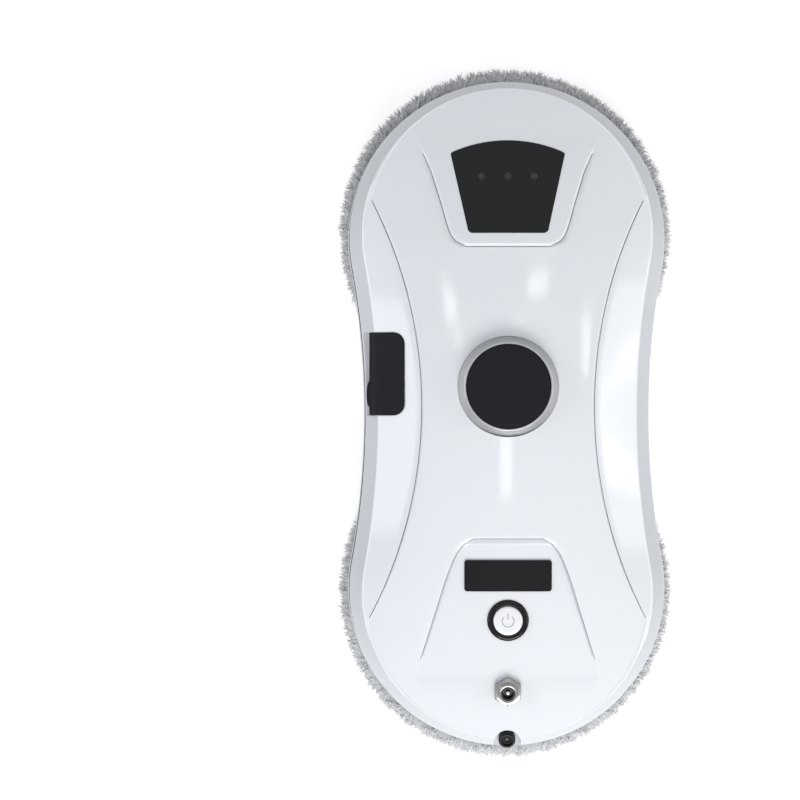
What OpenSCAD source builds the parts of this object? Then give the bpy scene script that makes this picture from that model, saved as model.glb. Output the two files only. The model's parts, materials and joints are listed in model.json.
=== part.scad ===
// Window cleaning robot: a figure-eight body on two spinning mop wheels, held to the glass by
// suction through both wheel hubs, with a water tank, a spray nozzle and a backup battery.
// Millimetres. z = 0 is the wiping face of the pads, and +Z points away from the glass.
// +Y is the end with the status window, and +X is the right side seen from above.

/* [Body outline] */
// Radius of each round lobe of the body
lobe_r = 68; // [66:0.5:70]
// Distance of each lobe's centre from the middle
lobe_y = 74.5; // [73:0.5:76]
// How much narrower each side is at the waist than at the lobes
waist_in = 6.8; // [5:0.2:8]
// Thickness of the shells' walls
wall_t = 2.4; // [2:0.1:2.8]
// How far the base stands proud of the cover as a rim
rim_w = 0.8; // [0.5:0.1:1.2]
// Width of the sloped band along the sides
band_w = 6; // [5:0.2:7]
// Width of the sloped band at the two ends
band_end_w = 4; // [3.4:0.2:4.8]

/* [Levels] */
// Gap between the wheel discs and the base
wheel_gap = 1.5; // [1.2:0.1:2]
// Thickness of the base's floor
floor_t = 2.5; // [2:0.1:3]
// Height of the base shell
base_h = 15.5; // [14:0.5:17]
// Height of the cover's upright wall
side_h = 12; // [11:0.5:13]
// Height of the sloped band
band_h = 7; // [6:0.5:8]
// Rise of the crowned deck above the band
crown_h = 17; // [16:0.5:19]

/* [Deck] */
// Half the distance between the two creases at the waist
crease_half = 35.5; // [34:0.5:37]
// Radius of each crease seen from above
crease_r = 192; // [180:2:210]
// Y of the creases' narrowest place
crease_y = 3; // [0:0.5:5]
// Height of the step at the crease at the waist
crease_step = 1.8; // [1:0.1:2.4]
// Width of the step's slope
crease_w = 1; // [0.6:0.1:1.6]
// Width of the slope that borders the two panels
panel_edge_w = 1.2; // [0.8:0.1:1.6]
// Y of the raised panel's inner border
lift_y = 70.8; // [69:0.2:72]
// Y where the raised panel runs out
lift_end_y = 118.7; // [116:0.2:119.5]
// Half-width of the raised panel where it runs out
lift_half = 39.7; // [38.5:0.1:41]
// Height of the raised panel at its inner border
lift_h = 1.6; // [1:0.1:2]
// Distance of the sunk panel's border behind the middle
sunk_y = 52.7; // [51:0.2:54]
// Distance behind the middle where the sunk panel runs out
sunk_end_y = 112; // [110:0.5:114]
// Half-width of the sunk panel where it runs out
sunk_half = 39.5; // [38:0.5:41]
// Depth of the sunk panel at its border
sunk_h = 2.2; // [1.4:0.1:2.6]

/* [Centre cap] */
// Y of the cap and of the fan under it
cap_y = 11.6; // [8:0.2:14]
// Radius of the black cap
cap_r = 17.8; // [17:0.1:18.5]
// Outer radius of the silver ring
ring_r = 21.2; // [20.6:0.1:22]
// Height of the silver ring above the deck's crown
ring_rise = 4; // [3:0.2:5]
// Thickness of the black cap
cap_t = 3; // [2:0.2:4]

/* [Status window] */
// Y of the window's lower edge
window_y = 76.6; // [76:0.2:78]
// Length of the window up to its shoulders
window_len = 34.1; // [32:0.2:35]
// Rise of the window's arched top
window_arch = 5.2; // [4:0.2:5.6]
// Half-width at the lower edge
window_low_half = 16.6; // [15.5:0.2:17.4]
// Half-width at the shoulders
window_high_half = 24.2; // [23:0.2:25]
// Corner radius
window_corner = 2.1; // [1.5:0.1:3]
// Thickness of the flange that holds the window under the deck
flange_t = 1.2; // [1:0.1:1.6]
// Y of the row of lights
light_y = 100.7; // [98:0.2:103]
// Spacing of the lights
light_step = 11.2; // [10:0.2:12]
// Radius of each light
light_r = 1.65; // [1.2:0.05:2]

/* [Rear panel] */
// Y of the label plate's middle, behind the middle of the body
label_y = 68.4; // [67:0.2:69.5]
// Width of the label plate
label_w = 37; // [34:0.5:38]
// Length of the label plate
label_len = 13.3; // [12:0.1:14]
// Thickness of the label plate
label_t = 0.5; // [0.3:0.1:0.8]
// Distance of the power button behind the middle
button_y = 87.4; // [86.5:0.2:89]
// Outer radius of the button's black ring
button_ring_r = 8.7; // [8.2:0.1:9.2]
// Radius of the button
button_r = 6.2; // [5.8:0.1:6.6]
// Travel of the button
button_travel = 1.2; // [0.8:0.1:1.5]
// Distance of the power socket behind the middle
socket_y = 117.5; // [116:0.2:118.5]
// Outer radius of the socket's threaded barrel
socket_r = 4; // [3.5:0.1:4.5]
// Distance across the socket nut's flats
nut_flats = 11; // [10:0.2:12]
// Thickness of the socket's nut
nut_t = 2.4; // [2:0.1:3]
// Length of barrel that stands above the nut
socket_rise = 3; // [2:0.2:4]
// Radius of the socket's black insert
insert_r = 2.9; // [2.5:0.1:3.1]
// Radius of the socket's centre pin
pin_r = 1.05; // [0.8:0.05:1.2]

/* [Spray nozzle] */
// Width of the notch in the rear end
notch_w = 11.7; // [11:0.1:13]
// Depth of the notch from the end
notch_len = 8; // [7.4:0.1:9]
// Radius of the nozzle
nozzle_r = 3.6; // [3.2:0.1:4]
// Radius of the nozzle's mouth
mouth_r = 1.8; // [1.4:0.1:2.2]
// Tilt of the nozzle away from upright
nozzle_tilt = 28; // [22:1:32]

/* [Wheels] */
// Distance of each wheel's axis from the middle
wheel_y = 77.5; // [76.5:0.5:79]
// Outer radius of a mop pad
pad_r = 72.5; // [71:0.5:74]
// Inner radius of a mop pad
pad_bore_r = 33; // [31:0.5:35]
// Thickness of a mop pad
pad_t = 7.5; // [6.5:0.5:9]
// Thickness of the hook ring that holds the pad
hook_t = 1.5; // [1:0.1:2]
// Radius of a wheel disc
disc_r = 66; // [64:0.5:67]
// Thickness of a wheel disc
disc_t = 4; // [3:0.2:5]
// Outer radius of the wheel's collar
collar_r = 25; // [24.6:0.1:26]
// Bore radius of the wheel's collar
collar_bore_r = 22; // [21.6:0.1:22.4]
// Outer radius of the fixed hub tube
hub_r = 20; // [19:0.1:20.4]
// Bore radius of the fixed hub tube
hub_bore_r = 17.5; // [16.5:0.1:18]

/* [Drive] */
// Module of the gears
gear_module = 1.4; // [1.38:0.01:1.42]
// Teeth of each wheel's gear
gear_teeth = 48; // [44:4:48]
// Teeth of each motor's pinion
pinion_teeth = 12; // [12:1:14]
// Thickness of the gears
gear_t = 6; // [5:0.5:7]
// Play between two meshed teeth
tooth_play = 0.35; // [0.25:0.05:0.45]
// Radius of the gearbox
gearbox_r = 12; // [11:0.2:12.6]
// Height of the gearbox
gearbox_h = 9; // [8:0.5:10]
// Radius of the motor can
can_r = 10; // [9:0.2:11]
// Height of the motor can
can_h = 7; // [6:0.5:8]
// Radius of the motor's output shaft
motor_shaft_r = 2; // [1.5:0.1:2.5]

/* [Suction] */
// Half-width of the air duct
duct_half = 22; // [21.6:0.1:23]
// Height of the air duct
duct_h = 11; // [10:0.5:12]
// Thickness of the duct's walls
duct_wall = 2; // [1.6:0.1:2.2]
// Radius of the fan's inlet eye
eye_r = 13; // [11:0.5:14]
// Outer radius of the fan housing
fan_r = 33; // [32:0.2:34]
// Radius of the impeller
impeller_r = 25; // [23:0.5:25.6]
// Height of the impeller
impeller_h = 7.4; // [6.4:0.2:8]
// Number of impeller blades
blade_count = 9; // [7:1:11]
// Radius of the fan motor
fan_motor_r = 14; // [12:0.5:14.6]
// Height of the fan motor
fan_motor_h = 10; // [9:0.5:11]
// Radius of the fan's shaft
fan_shaft_r = 1.5; // [1.2:0.1:2]

/* [Water] */
// Length of the filler cover along Y
filler_len = 35; // [33:0.5:37]
// Y of the filler cover's middle
filler_y = 17; // [15:0.5:19]
// Width of the filler cover from its hinge edge to its outer edge
filler_w = 14.8; // [13.8:0.2:15.8]
// Corner radius of the filler cover at its hinge edge
filler_corner = 4.8; // [4:0.2:6]
// Thickness of the filler cover
filler_t = 2.6; // [2.2:0.1:3]
// Radius of the filler hole
port_r = 4.8; // [4.4:0.1:5]
// Length of the water tank
tank_len = 58; // [52:1:60]
// Wall of the water tank
tank_wall = 1.5; // [1.2:0.1:1.8]
// Radius of the pump
pump_r = 8.5; // [7.5:0.5:9]
// Height of the pump
pump_h = 15; // [13:0.5:16]
// Outer radius of the water hoses
hose_r = 2; // [1.8:0.1:2.2]

/* [Power and board] */
// Radius of a battery cell
cell_r = 7; // [6.6:0.1:7.1]
// Length of a battery cell
cell_len = 50; // [46:1:50]
// Width of the control board
board_w = 66; // [60:1:68]
// Length of the control board
board_len = 60; // [54:1:62]
// Thickness of the circuit boards
board_t = 1.6; // [1:0.1:2]

/* [Fasteners] */
// Radius of the case and motor screws
screw_r = 1.5; // [1.2:0.1:1.6]
// Radius of the screws' heads
head_r = 2.6; // [2.3:0.1:2.8]
// Height of the screws' heads
head_h = 1.6; // [1.3:0.1:1.8]
// Radius of the cover's screw bosses
boss_r = 3.5; // [3.2:0.1:3.8]

/* [Fits] */
// Radial play between running surfaces
run_gap = 0.05; // [0.03:0.01:0.08]
// Gap between fixed pieces and their seats
fit_gap = 0.15; // [0.1:0.05:0.2]
// Gap at thrust faces and round the moving parts
thrust_gap = 0.3; // [0.25:0.05:0.4]

/* [Hidden] */
$fn = 72;

// Overrun of every cut past the face that it opens
over = 1;
white = "#e9ecef";
band_grey = "#cfd4d9";
black = "#1f2326";
dark = "#3a3f44";
silver = "#b9bdc1";
steel = "#9aa0a6";
brass = "#b8a169";
fibre = "#c9ccd0";
green = "#2f6b3c";

// Levels, from the wiping face up
disc_z = pad_t + hook_t;
disc_top = disc_z + disc_t;
base_z = disc_top + wheel_gap;
floor_z = base_z + floor_t;
seam_z = base_z + base_h;
band_z = seam_z + side_h;
deck_z = band_z + band_h;
crown_z = deck_z + crown_h;

// Outline of the body set in by d: two lobes joined by a hollow arc, given as
// [lobe radius, lobe centre, waist half-width]
waist_half = lobe_r - waist_in;
function outline(d) = [lobe_r - d, lobe_y, waist_half - d];
function arc_r(o) = (pow(o[2], 2) + pow(o[1], 2) - pow(o[0], 2)) / (2 * (o[0] - o[2]));
function join_a(o) = atan2(o[1], o[2] + arc_r(o));
// Place on an outline: t runs from -2 at the rear tip over -1, 1 at the arcs' joints to 2
function spot(o, t) = abs(t) <= 1
    ? [o[2] + arc_r(o) * (1 - cos(t * join_a(o))), arc_r(o) * sin(t * join_a(o))]
    : [o[0] * cos(lobe_a(o, t)), sign(t) * (o[1] + o[0] * sin(lobe_a(o, t)))];
function lobe_a(o, t) = (abs(t) - 1) * (90 + join_a(o)) - join_a(o);
// The t of the place that lies at a given y
function t_at(o, y) = abs(y) <= arc_r(o) * sin(join_a(o))
    ? asin(y / arc_r(o)) / join_a(o)
    : sign(y) * (1 + (asin((abs(y) - o[1]) / o[0]) + join_a(o)) / (90 + join_a(o)));
lobe_steps = 18;
waist_steps = 7;
right_ts = concat(
    [for (i = [0:lobe_steps - 1]) -2 + i / lobe_steps],
    [for (i = [0:2 * waist_steps - 1]) -1 + i / waist_steps],
    [for (i = [0:lobe_steps - 1]) 1 + i / lobe_steps]);
module plan(d) {
    right = [for (t = right_ts) spot(outline(d), t)];
    left = [for (p = right) [-p[0], -p[1]]];
    polygon(concat(right, left));
}
module slab(d, z, h) {
    translate([0, 0, z]) linear_extrude(h) plan(d);
}

// The band's inner edge, its row of stations, and the creases
inner = [lobe_r - band_w, lobe_y + band_w - band_end_w, waist_half - band_w];
inner_end = inner[0] + inner[1];
sunk_full_y = sunk_y + 2 * panel_edge_w;
lift_full_y = lift_y + panel_edge_w;
lift_len = lift_end_y - lift_y;
sunk_len = sunk_end_y - sunk_y;
function even(a, b, n) = [for (i = [1:n]) a + (b - a) * i / n];
// Angles on the lobes of the stations past each panel's end
rear_end_angles = [80, 70, 61, 52, 44];
front_end_angles = [47, 54, 62, 71, 80];
// Where the panels' rounded inner corners end, as a share of their length
corner_in_share = 0.12;
row_ys = concat(
    [for (a = rear_end_angles) -inner[1] - inner[0] * sin(a)],
    [-sunk_end_y],
    even(-sunk_end_y, -sunk_y - corner_in_share * sunk_len, 6),
    [-sunk_full_y, -sunk_y],
    even(-sunk_y, lift_y, 13),
    [lift_full_y, lift_y + corner_in_share * lift_len],
    even(lift_y + corner_in_share * lift_len, lift_end_y, 5),
    [for (a = front_end_angles) inner[1] + inner[0] * sin(a)]);
// Borders of the two panels: share of the length from the inner border, share of the half-width
lift_shares = [[0, 0.44], [0.1, 0.56], [0.37, 0.7], [0.68, 0.825], [1, 1]];
sunk_shares = [[1, 1], [0.51, 0.767], [0.133, 0.58], [0.04, 0.46], [0, 0.37]];
border_places = concat(
    [for (s = sunk_shares) [-sunk_y - s[0] * sunk_len, s[1] * sunk_half]],
    [for (s = lift_shares) [lift_y + s[0] * lift_len, s[1] * lift_half]]);
// Past its ends a crease keeps this share of the half-width, and the panels this share of that
crease_limit_share = 0.96;
border_limit_share = 0.86;
// How fast the deck's edge rises as the crease leaves the band
crease_lift_share = 2.1;
crease_x = crease_half + crease_r;
function half_in(y) = spot(inner, t_at(inner, y))[0];
function crease(y) = min(crease_x - sqrt(pow(crease_r, 2) - pow(y - crease_y, 2)),
    crease_limit_share * half_in(y));
function border(y) = min(lookup(y, border_places), border_limit_share * crease(y));
function axis_z(y) = deck_z + crown_h * (1 - pow(y / inner_end, 2));
function openness(y) = 1 - crease(y) / half_in(y);
function edge_z(y) = deck_z + (axis_z(y) - deck_z) * crease_lift_share * openness(y);
function plain_z(x, y) = axis_z(y) - (axis_z(y) - edge_z(y)) * pow(x / crease(y), 2);
function relief(y) =
    y >= lift_full_y && y < lift_end_y
        ? lift_h * (lift_end_y - y) / (lift_end_y - lift_full_y)
    : y <= -sunk_full_y && y > -sunk_end_y
        ? -sunk_h * (sunk_end_y + y) / (sunk_end_y - sunk_full_y)
    : 0;
step_full = openness(crease_y);
function step(y) = crease_step * max(0, openness(y) - (1 - crease_limit_share))
    / (step_full - (1 - crease_limit_share));
function crease_out(y) = crease(y) + min(crease_w, (half_in(y) - crease(y)) / 2);
function panel_in(y) = max(border(y) - panel_edge_w, border(y) / 2);
// Height of the deck or side panel at any place inside the band
function top_z(x, y) = abs(x) <= panel_in(y) ? plain_z(x, y) + relief(y)
    : abs(x) <= crease(y) ? plain_z(x, y)
    : deck_z + (edge_z(y) - step(y) - deck_z)
        * (half_in(y) - abs(x)) / (half_in(y) - crease_out(y));
slope_step = 1;
function slope(x, y) = atan((top_z(x, y + slope_step) - top_z(x, y - slope_step)) / (2 * slope_step));
// One station's places from the axis to the band, as [x, z]
function station(y) = [
    [0, axis_z(y) + relief(y)],
    [panel_in(y) / 2, plain_z(panel_in(y) / 2, y) + relief(y)],
    [panel_in(y), plain_z(panel_in(y), y) + relief(y)],
    [border(y), plain_z(border(y), y)],
    [(border(y) + crease(y)) / 2, plain_z((border(y) + crease(y)) / 2, y)],
    [crease(y), edge_z(y)],
    [crease_out(y), edge_z(y) - step(y)],
    [(crease_out(y) + half_in(y)) / 2, (edge_z(y) - step(y) + deck_z) / 2],
    [half_in(y), deck_z]];
half_cell_count = 8;
cell_count = 2 * half_cell_count;
wide = cell_count + 1;
rows = len(row_ys);
loop_len = 2 * rows + 2;
skin_len = rows * wide + 2 + 2 * loop_len;
row_ts = [for (y = row_ys) t_at(inner, y)];
// A skin set in by d: stations, both tips, then the band's lower edge and the seam
function skin(d) =
    let (in_d = [inner[0] - d, inner[1], inner[2] - d])
    let (out_d = outline(rim_w + d))
    let (edge = [for (t = row_ts) spot(out_d, t)])
    concat(
        [for (k = [0:rows - 1])
            let (s = station(row_ys[k]))
            let (p = spot(in_d, row_ts[k]))
            let (fit = p[0] / half_in(row_ys[k]))
            for (j = [-half_cell_count:half_cell_count])
                [sign(j) * s[abs(j)][0] * fit, p[1], s[abs(j)][1] - d]],
        [[0, inner_end - d, deck_z - d], [0, d - inner_end, deck_z - d]],
        for_loop(edge, out_d[0] + out_d[1], band_z - d / 2),
        for_loop(edge, out_d[0] + out_d[1], seam_z));
function for_loop(edge, tip, z) = concat(
    [for (p = edge) [p[0], p[1], z]],
    [[0, tip, z]],
    [for (k = [rows - 1:-1:0]) [-edge[k][0], edge[k][1], z]],
    [[0, -tip, z]]);
function band_index(l) = l < rows ? l * wide + cell_count
    : l == rows ? rows * wide
    : l <= 2 * rows ? (2 * rows - l) * wide
    : rows * wide + 1;
function quad(a, b, c, d) = [[a, b, c], [a, c, d]];
function flat(v) = [for (group = v) each group];
// Faces of one skin, seen from outside
skin_faces = concat(
    flat([for (k = [0:rows - 2], j = [0:cell_count - 1])
        quad(k * wide + j, (k + 1) * wide + j, (k + 1) * wide + j + 1, k * wide + j + 1)]),
    [for (j = [0:cell_count - 1]) [(rows - 1) * wide + j, rows * wide, (rows - 1) * wide + j + 1]],
    [for (j = [0:cell_count - 1]) [j + 1, rows * wide + 1, j]],
    flat([for (l = [0:loop_len - 1])
        let (n = (l + 1) % loop_len)
        let (low = rows * wide + 2)
        concat(
            quad(band_index(l), band_index(n), low + n, low + l),
            quad(low + l, low + n, low + loop_len + n, low + loop_len + l))]));
module cover_shell() {
    seam = rows * wide + 2 + loop_len;
    inside_faces = [for (f = skin_faces) [f[2] + skin_len, f[1] + skin_len, f[0] + skin_len]];
    seam_faces = flat([for (l = [0:loop_len - 1])
        let (n = (l + 1) % loop_len)
        quad(seam + l, seam + n, skin_len + seam + n, skin_len + seam + l)]);
    polyhedron(concat(skin(0), skin(wall_t)), concat(skin_faces, inside_faces, seam_faces));
}

// A plate that follows the deck between two heights above it, from rows of [y, half-width]
module deck_plate(places, high, low) {
    n = len(places);
    plate_cells = 8;
    w = plate_cells + 1;
    points = [for (h = [high, low], p = places, j = [0:plate_cells])
        let (x = p[1] * (2 * j / plate_cells - 1))
        [x, p[0], plain_z(x, p[0]) + relief(p[0]) + h]];
    top = flat([for (k = [0:n - 2], j = [0:plate_cells - 1])
        quad(k * w + j, (k + 1) * w + j, (k + 1) * w + j + 1, k * w + j + 1)]);
    under = [for (f = top) [f[2] + n * w, f[1] + n * w, f[0] + n * w]];
    rim = concat(
        [for (j = [0:plate_cells - 1]) j],
        [for (k = [0:n - 2]) k * w + plate_cells],
        [for (j = [plate_cells:-1:1]) (n - 1) * w + j],
        [for (k = [n - 1:-1:1]) k * w]);
    sides = flat([for (i = [0:len(rim) - 1])
        let (a = rim[i])
        let (b = rim[(i + 1) % len(rim)])
        quad(a, b, b + n * w, a + n * w)]);
    polyhedron(points, concat(top, under, sides));
}
module on_deck(y, x = 0) {
    translate([x, y, top_z(x, y)]) rotate([slope(x, y), 0, 0]) children();
}
module tube(r, bore, h) {
    difference() {
        cylinder(r = r, h = h);
        translate([0, 0, -over]) cylinder(r = bore, h = h + 2 * over);
    }
}
module block(x, y, z) {
    translate([x[0], y[0], z[0]]) cube([x[1] - x[0], y[1] - y[0], z[1] - z[0]]);
}
// The span of a given width about a middle
function about(middle, width) = [middle - width / 2, middle + width / 2];
module screw(length) {
    cylinder(r = head_r, h = head_h);
    translate([0, 0, head_h - fit_gap]) cylinder(r = screw_r, h = length + fit_gap);
}
// The children at the front wheel's axis and, turned half round, at the rear wheel's
module at_wheel(side) {
    rotate([0, 0, side > 0 ? 0 : 180]) translate([0, wheel_y, 0]) children();
}
module at_wheels() {
    for (side = [1, -1]) at_wheel(side) children();
}

// Case screws: angle on each lobe, measured from its side, at both sides of both lobes
case_angles = [15, -14];
// Inner lip of the base that centres the cover
lip_t = 1.4;
lip_h = 2.5;
lip_out = rim_w + wall_t + 2 * fit_gap;
case_r = lobe_r - lip_out - lip_t - boss_r - fit_gap;
case_places = [for (side = [-1, 1], a = case_angles)
    [case_r * cos(a), side * (lobe_y + case_r * sin(a))]];
tower_h = 5;
tower_seat_h = 1;
tower_top = floor_z + tower_h;
tower_seat = floor_z + tower_seat_h;
case_screw_len = 16;
// The bosses end this far under the deck's edge, and their holes this far under the band
boss_top_gap = 1;
case_hole_end = 2;
module at_case_screws() {
    for (p = case_places, mirror_x = [1, -1]) {
        // One waist screw on each side is enough, at diagonally opposite places
        if (mirror_x * sign(p[1]) > 0 || abs(p[1]) > lobe_y)
            translate([mirror_x * p[0], p[1], 0]) children();
    }
}

// Gears
gear_z = floor_z + wheel_gap / 2;
gear_center = gear_module * (gear_teeth + pinion_teeth) / 2;
pressure_angle = 20;
addendum_share = 0.75;
dedendum_share = 1.05;
function involute(a) = tan(a) * 180 / PI - a;
function gear_outline(teeth) =
    let (r = gear_module * teeth / 2)
    let (base = r * cos(pressure_angle))
    let (root = r - dedendum_share * gear_module)
    let (tip = r + addendum_share * gear_module)
    let (half_a = 90 / teeth - tooth_play / 4 / r * 180 / PI)
    let (flank = [for (q = [max(base, root), (max(base, root) + r) / 2, r, tip])
        [q, half_a + involute(pressure_angle) - involute(acos(min(1, base / q)))]])
    let (side = concat([[root, flank[0][1]]], base > root ? flank : [flank[1], flank[2], flank[3]]))
    let (last = len(side) - 1)
    [for (i = [0:teeth - 1])
        let (mid = 360 * i / teeth)
        each concat(
            [for (s = side) [s[0] * cos(mid - s[1]), s[0] * sin(mid - s[1])]],
            [for (k = [last:-1:0])
                [side[k][0] * cos(mid + side[k][1]), side[k][0] * sin(mid + side[k][1])]])];
clip_t = 1;
clip_groove = 0.8;
clip_w = 2.6;
collar_top = gear_z + gear_t + clip_t + clip_t;
duct_z = collar_top + thrust_gap;
gasket_t = 1;
fan_z = duct_z + duct_h + gasket_t;

// Gear motors: the mounting posts' angles round the motor and their distance from its axis
post_angles = [118, 242];
post_r = 3;
post_reach = gearbox_r + post_r;
module at_motor_posts() {
    translate([-gear_center, 0, 0]) for (a = post_angles)
        rotate([0, 0, a]) translate([post_reach, 0, 0]) children();
}
motor_z = duct_z;

// Duct, fan and board fixings
lug_gap = 1;
lug_rim_w = 1;
lug_r = post_r + lug_rim_w;
lug_x = duct_half + post_r + lug_gap;
lug_y = wheel_y - gear_center + lug_gap;
lug_t = 3;
module at_duct_lugs() {
    for (x = [-1, 1], y = [-1, 1]) translate([x * lug_x, y * lug_y, 0]) children();
}
fan_wall = 2;
fan_screw_r = impeller_r + head_r + thrust_gap;
fan_screw_angles = [60, 120, 240, 300];
module at_fan_screws() {
    translate([0, cap_y, 0]) for (a = fan_screw_angles)
        rotate([0, 0, a]) translate([fan_screw_r, 0, 0]) children();
}
board_inset = 4;
board_post_h = 2;
board_z = floor_z + board_post_h;
module at_board_screws() {
    for (x = [-1, 1], y = [-1, 1])
        translate([x * (board_w / 2 - board_inset), y * (board_len / 2 - board_inset), 0])
            children();
}

// Tank, pump and hose places
tank_gap = 0.5;
tank_bevel = 2.5;
tank_fan_gap = 5;
tank_rise = 4;
tank_back = 11;
tank_out = waist_half - lip_out - lip_t - tank_gap;
tank_in = fan_r + tank_fan_gap;
tank_z = floor_z + tank_rise;
tank_top = band_z;
tank_y = filler_y - tank_back;
filler_ledge_w = 2.4;
filler_out = waist_half - filler_ledge_w;
filler_in = filler_out - filler_w;
port_in_gap = 0.5;
port_x = filler_in + port_in_gap + port_r;
port_ledge_w = 1;
seal_t = 1;
neck_r = port_r + tank_wall;
pump_x = (tank_in + tank_out) / 2;
pump_gap = 5;
pump_y = tank_y - tank_len / 2 - pump_r - pump_gap;
pump_z = floor_z + thrust_gap;
hose_height_share = 0.7;
hose_z = pump_z + hose_height_share * pump_h;
barb_r = 1;
barb_h = 4;

// Body shell
slot_count = 6;
slot_w = 2.2;
slot_h = 7;
slot_step = 4.4;
slot_y = 50;
slot_rise = 1;
module exhaust_slots() {
    for (side = [-1, 1], i = [0:slot_count - 1])
        translate([
            side * (waist_half + wall_t) - 2 * wall_t - over,
            -slot_y + (i - (slot_count - 1) / 2) * slot_step - slot_w / 2,
            seam_z + lip_h + slot_rise])
            cube([4 * wall_t + 2 * over, slot_w, slot_h]);
}
thrust_ring_w = 5;
hole_r = collar_r + thrust_gap * 2;
tank_rib_t = 3;
module base_plate() {
    color(band_grey) difference() {
        union() {
            difference() {
                slab(0, base_z, base_h);
                slab(wall_t, floor_z, base_h);
            }
            difference() {
                slab(wall_t / 2, seam_z - lip_h, lip_h);
                slab(lip_out + lip_t, seam_z - lip_h - over, lip_h + 2 * over);
            }
            difference() {
                slab(lip_out, seam_z - lip_t, lip_h + lip_t);
                slab(lip_out + lip_t, seam_z - lip_t - over, lip_h + lip_t + 2 * over);
            }
            at_wheels() {
                translate([0, 0, disc_top + thrust_gap])
                    cylinder(r = hole_r + thrust_ring_w, h = base_z - disc_top);
                at_motor_posts() translate([0, 0, base_z]) cylinder(r = post_r, h = motor_z - base_z);
            }
            at_case_screws() translate([0, 0, base_z]) cylinder(r = boss_r, h = tower_top - base_z);
            at_duct_lugs() translate([0, 0, base_z]) cylinder(r = post_r, h = duct_z - base_z);
            at_board_screws() translate([0, 0, base_z]) cylinder(r = post_r, h = board_z - base_z);
            for (y = [-1, 1])
                block([-tank_out + tank_rib_t, -tank_in],
                    about(tank_y + y * tank_len / 4, tank_rib_t), [base_z, tank_z]);
            block([-tank_out + tank_rib_t, -tank_in + tank_rib_t],
                about(pump_y, pump_r), [base_z, pump_z]);
        }
        at_wheels() {
            translate([0, 0, disc_top]) cylinder(r = hole_r, h = base_h);
            at_motor_posts() translate([0, 0, floor_z]) cylinder(r = screw_r + run_gap, h = base_h);
        }
        at_case_screws() {
            translate([0, 0, base_z - over]) cylinder(r = screw_r + fit_gap, h = base_h);
            translate([0, 0, base_z - over])
                cylinder(r = head_r + fit_gap, h = tower_seat - base_z + over);
        }
        at_nozzle() translate([0, 0, -nozzle_len - over])
            cylinder(r = nozzle_r + thrust_gap, h = nozzle_len);
        at_duct_lugs() translate([0, 0, floor_z]) cylinder(r = screw_r + run_gap, h = base_h);
        at_board_screws() translate([0, 0, floor_z]) cylinder(r = screw_r + run_gap, h = base_h);
    }
}

// Rear notch: an arch in plan, open to the end, with a sloping floor
notch_drop = 3;
notch_wall_rise = 2;
notch_floor = band_z - notch_drop;
end_y = lobe_y + lobe_r;
module notch_plan(grow) {
    w = notch_w + 2 * grow;
    translate([0, -end_y + notch_len - notch_w / 2]) circle(r = w / 2);
    translate([-w / 2, -end_y - over]) square([w, notch_len - notch_w / 2 + over]);
}
nozzle_y = -end_y + notch_len / 2;
module at_nozzle() {
    translate([0, nozzle_y, notch_floor]) rotate([nozzle_tilt, 0, 0]) children();
}
nozzle_len = 12;
nozzle_rise = 3;
nozzle_wall = 1;
mouth_recess = 1;
atomiser_t = 0.8;

// Filler cover: its section across the body as [distance from the middle, height], and its pocket
filler_bend_in = 0.6;
filler_edge_in = waist_half - band_w + filler_bend_in;
filler_rise = 0.7;
filler_in_z = top_z(filler_in, filler_y) + filler_rise;
filler_mid_z = deck_z + filler_rise;
filler_out_z = deck_z - (filler_out - filler_edge_in) * band_h / (band_w - rim_w) + filler_rise;
// The cover's underside lowered by drop and grown sideways, from its hinge edge outwards
function filler_low(drop, grow) = [
    [-filler_in + grow, filler_in_z - filler_t - drop],
    [-filler_edge_in + filler_t / 2, filler_mid_z - filler_t - drop],
    [-filler_out - grow, filler_out_z - filler_t - drop]];
filler_top = [
    [-filler_out, filler_out_z], [-filler_edge_in, filler_mid_z], [-filler_in, filler_in_z]];
// The cover's outline, grown, and reaching further out past its outer edge
module filler_plan(grow, out) {
    r = filler_corner;
    half = filler_len / 2;
    translate([0, filler_y]) {
        for (y = [-1, 1])
            translate([-filler_in - r, y * (half - r)]) circle(r = r + grow);
        translate([-filler_in - r, -half + r]) square([r + grow, 2 * (half - r)]);
        translate([-filler_out - out, -half - grow])
            square([filler_out - filler_in - r + out, 2 * half + 2 * grow]);
    }
}
module filler_prism(profile, grow, out) {
    intersection() {
        translate([0, filler_y + filler_len / 2 + 2 * over, 0]) rotate([90, 0, 0])
            linear_extrude(filler_len + 4 * over) polygon(profile);
        translate([0, 0, seam_z]) linear_extrude(crown_z) filler_plan(grow, out);
    }
}
// Height of the cover's underside at a distance from the middle
function filler_under(x) = lookup(x, [for (p = filler_low(0, 0)) [-p[0], p[1]]]);
// Finger tab on the cover's outer edge
tab_len = 10.8;
tab_out = 1.2;
tab_y = filler_y - filler_len / 4;
module filler_tab(out, grow, h) {
    translate([-filler_out - out, tab_y - tab_len / 2 - grow, filler_out_z - filler_t - grow])
        cube([out + tab_out, tab_len + 2 * grow, h]);
}
pocket_wall = 1.8;
// The pocket's cut reaches from its floor to above the cover
pocket_profile = concat(
    filler_low(thrust_gap, thrust_gap),
    [[-filler_out - 2 * band_w, filler_low(thrust_gap, 0)[2][1]],
        [-filler_out - 2 * band_w, crown_z], [-filler_in + thrust_gap, crown_z]]);
module filler_pocket_block() {
    sunk = [0, 2 * filler_rise];
    intersection() {
        translate([0, filler_y + filler_len / 2 + pocket_wall, 0]) rotate([90, 0, 0])
            linear_extrude(filler_len + 2 * pocket_wall) polygon(concat(
                filler_low(thrust_gap + pocket_wall, 0),
                [filler_top[0] - sunk, filler_top[1] - sunk, filler_top[2] - sunk]));
        slab(rim_w + wall_t / 2, seam_z, crown_z);
    }
}

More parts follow.
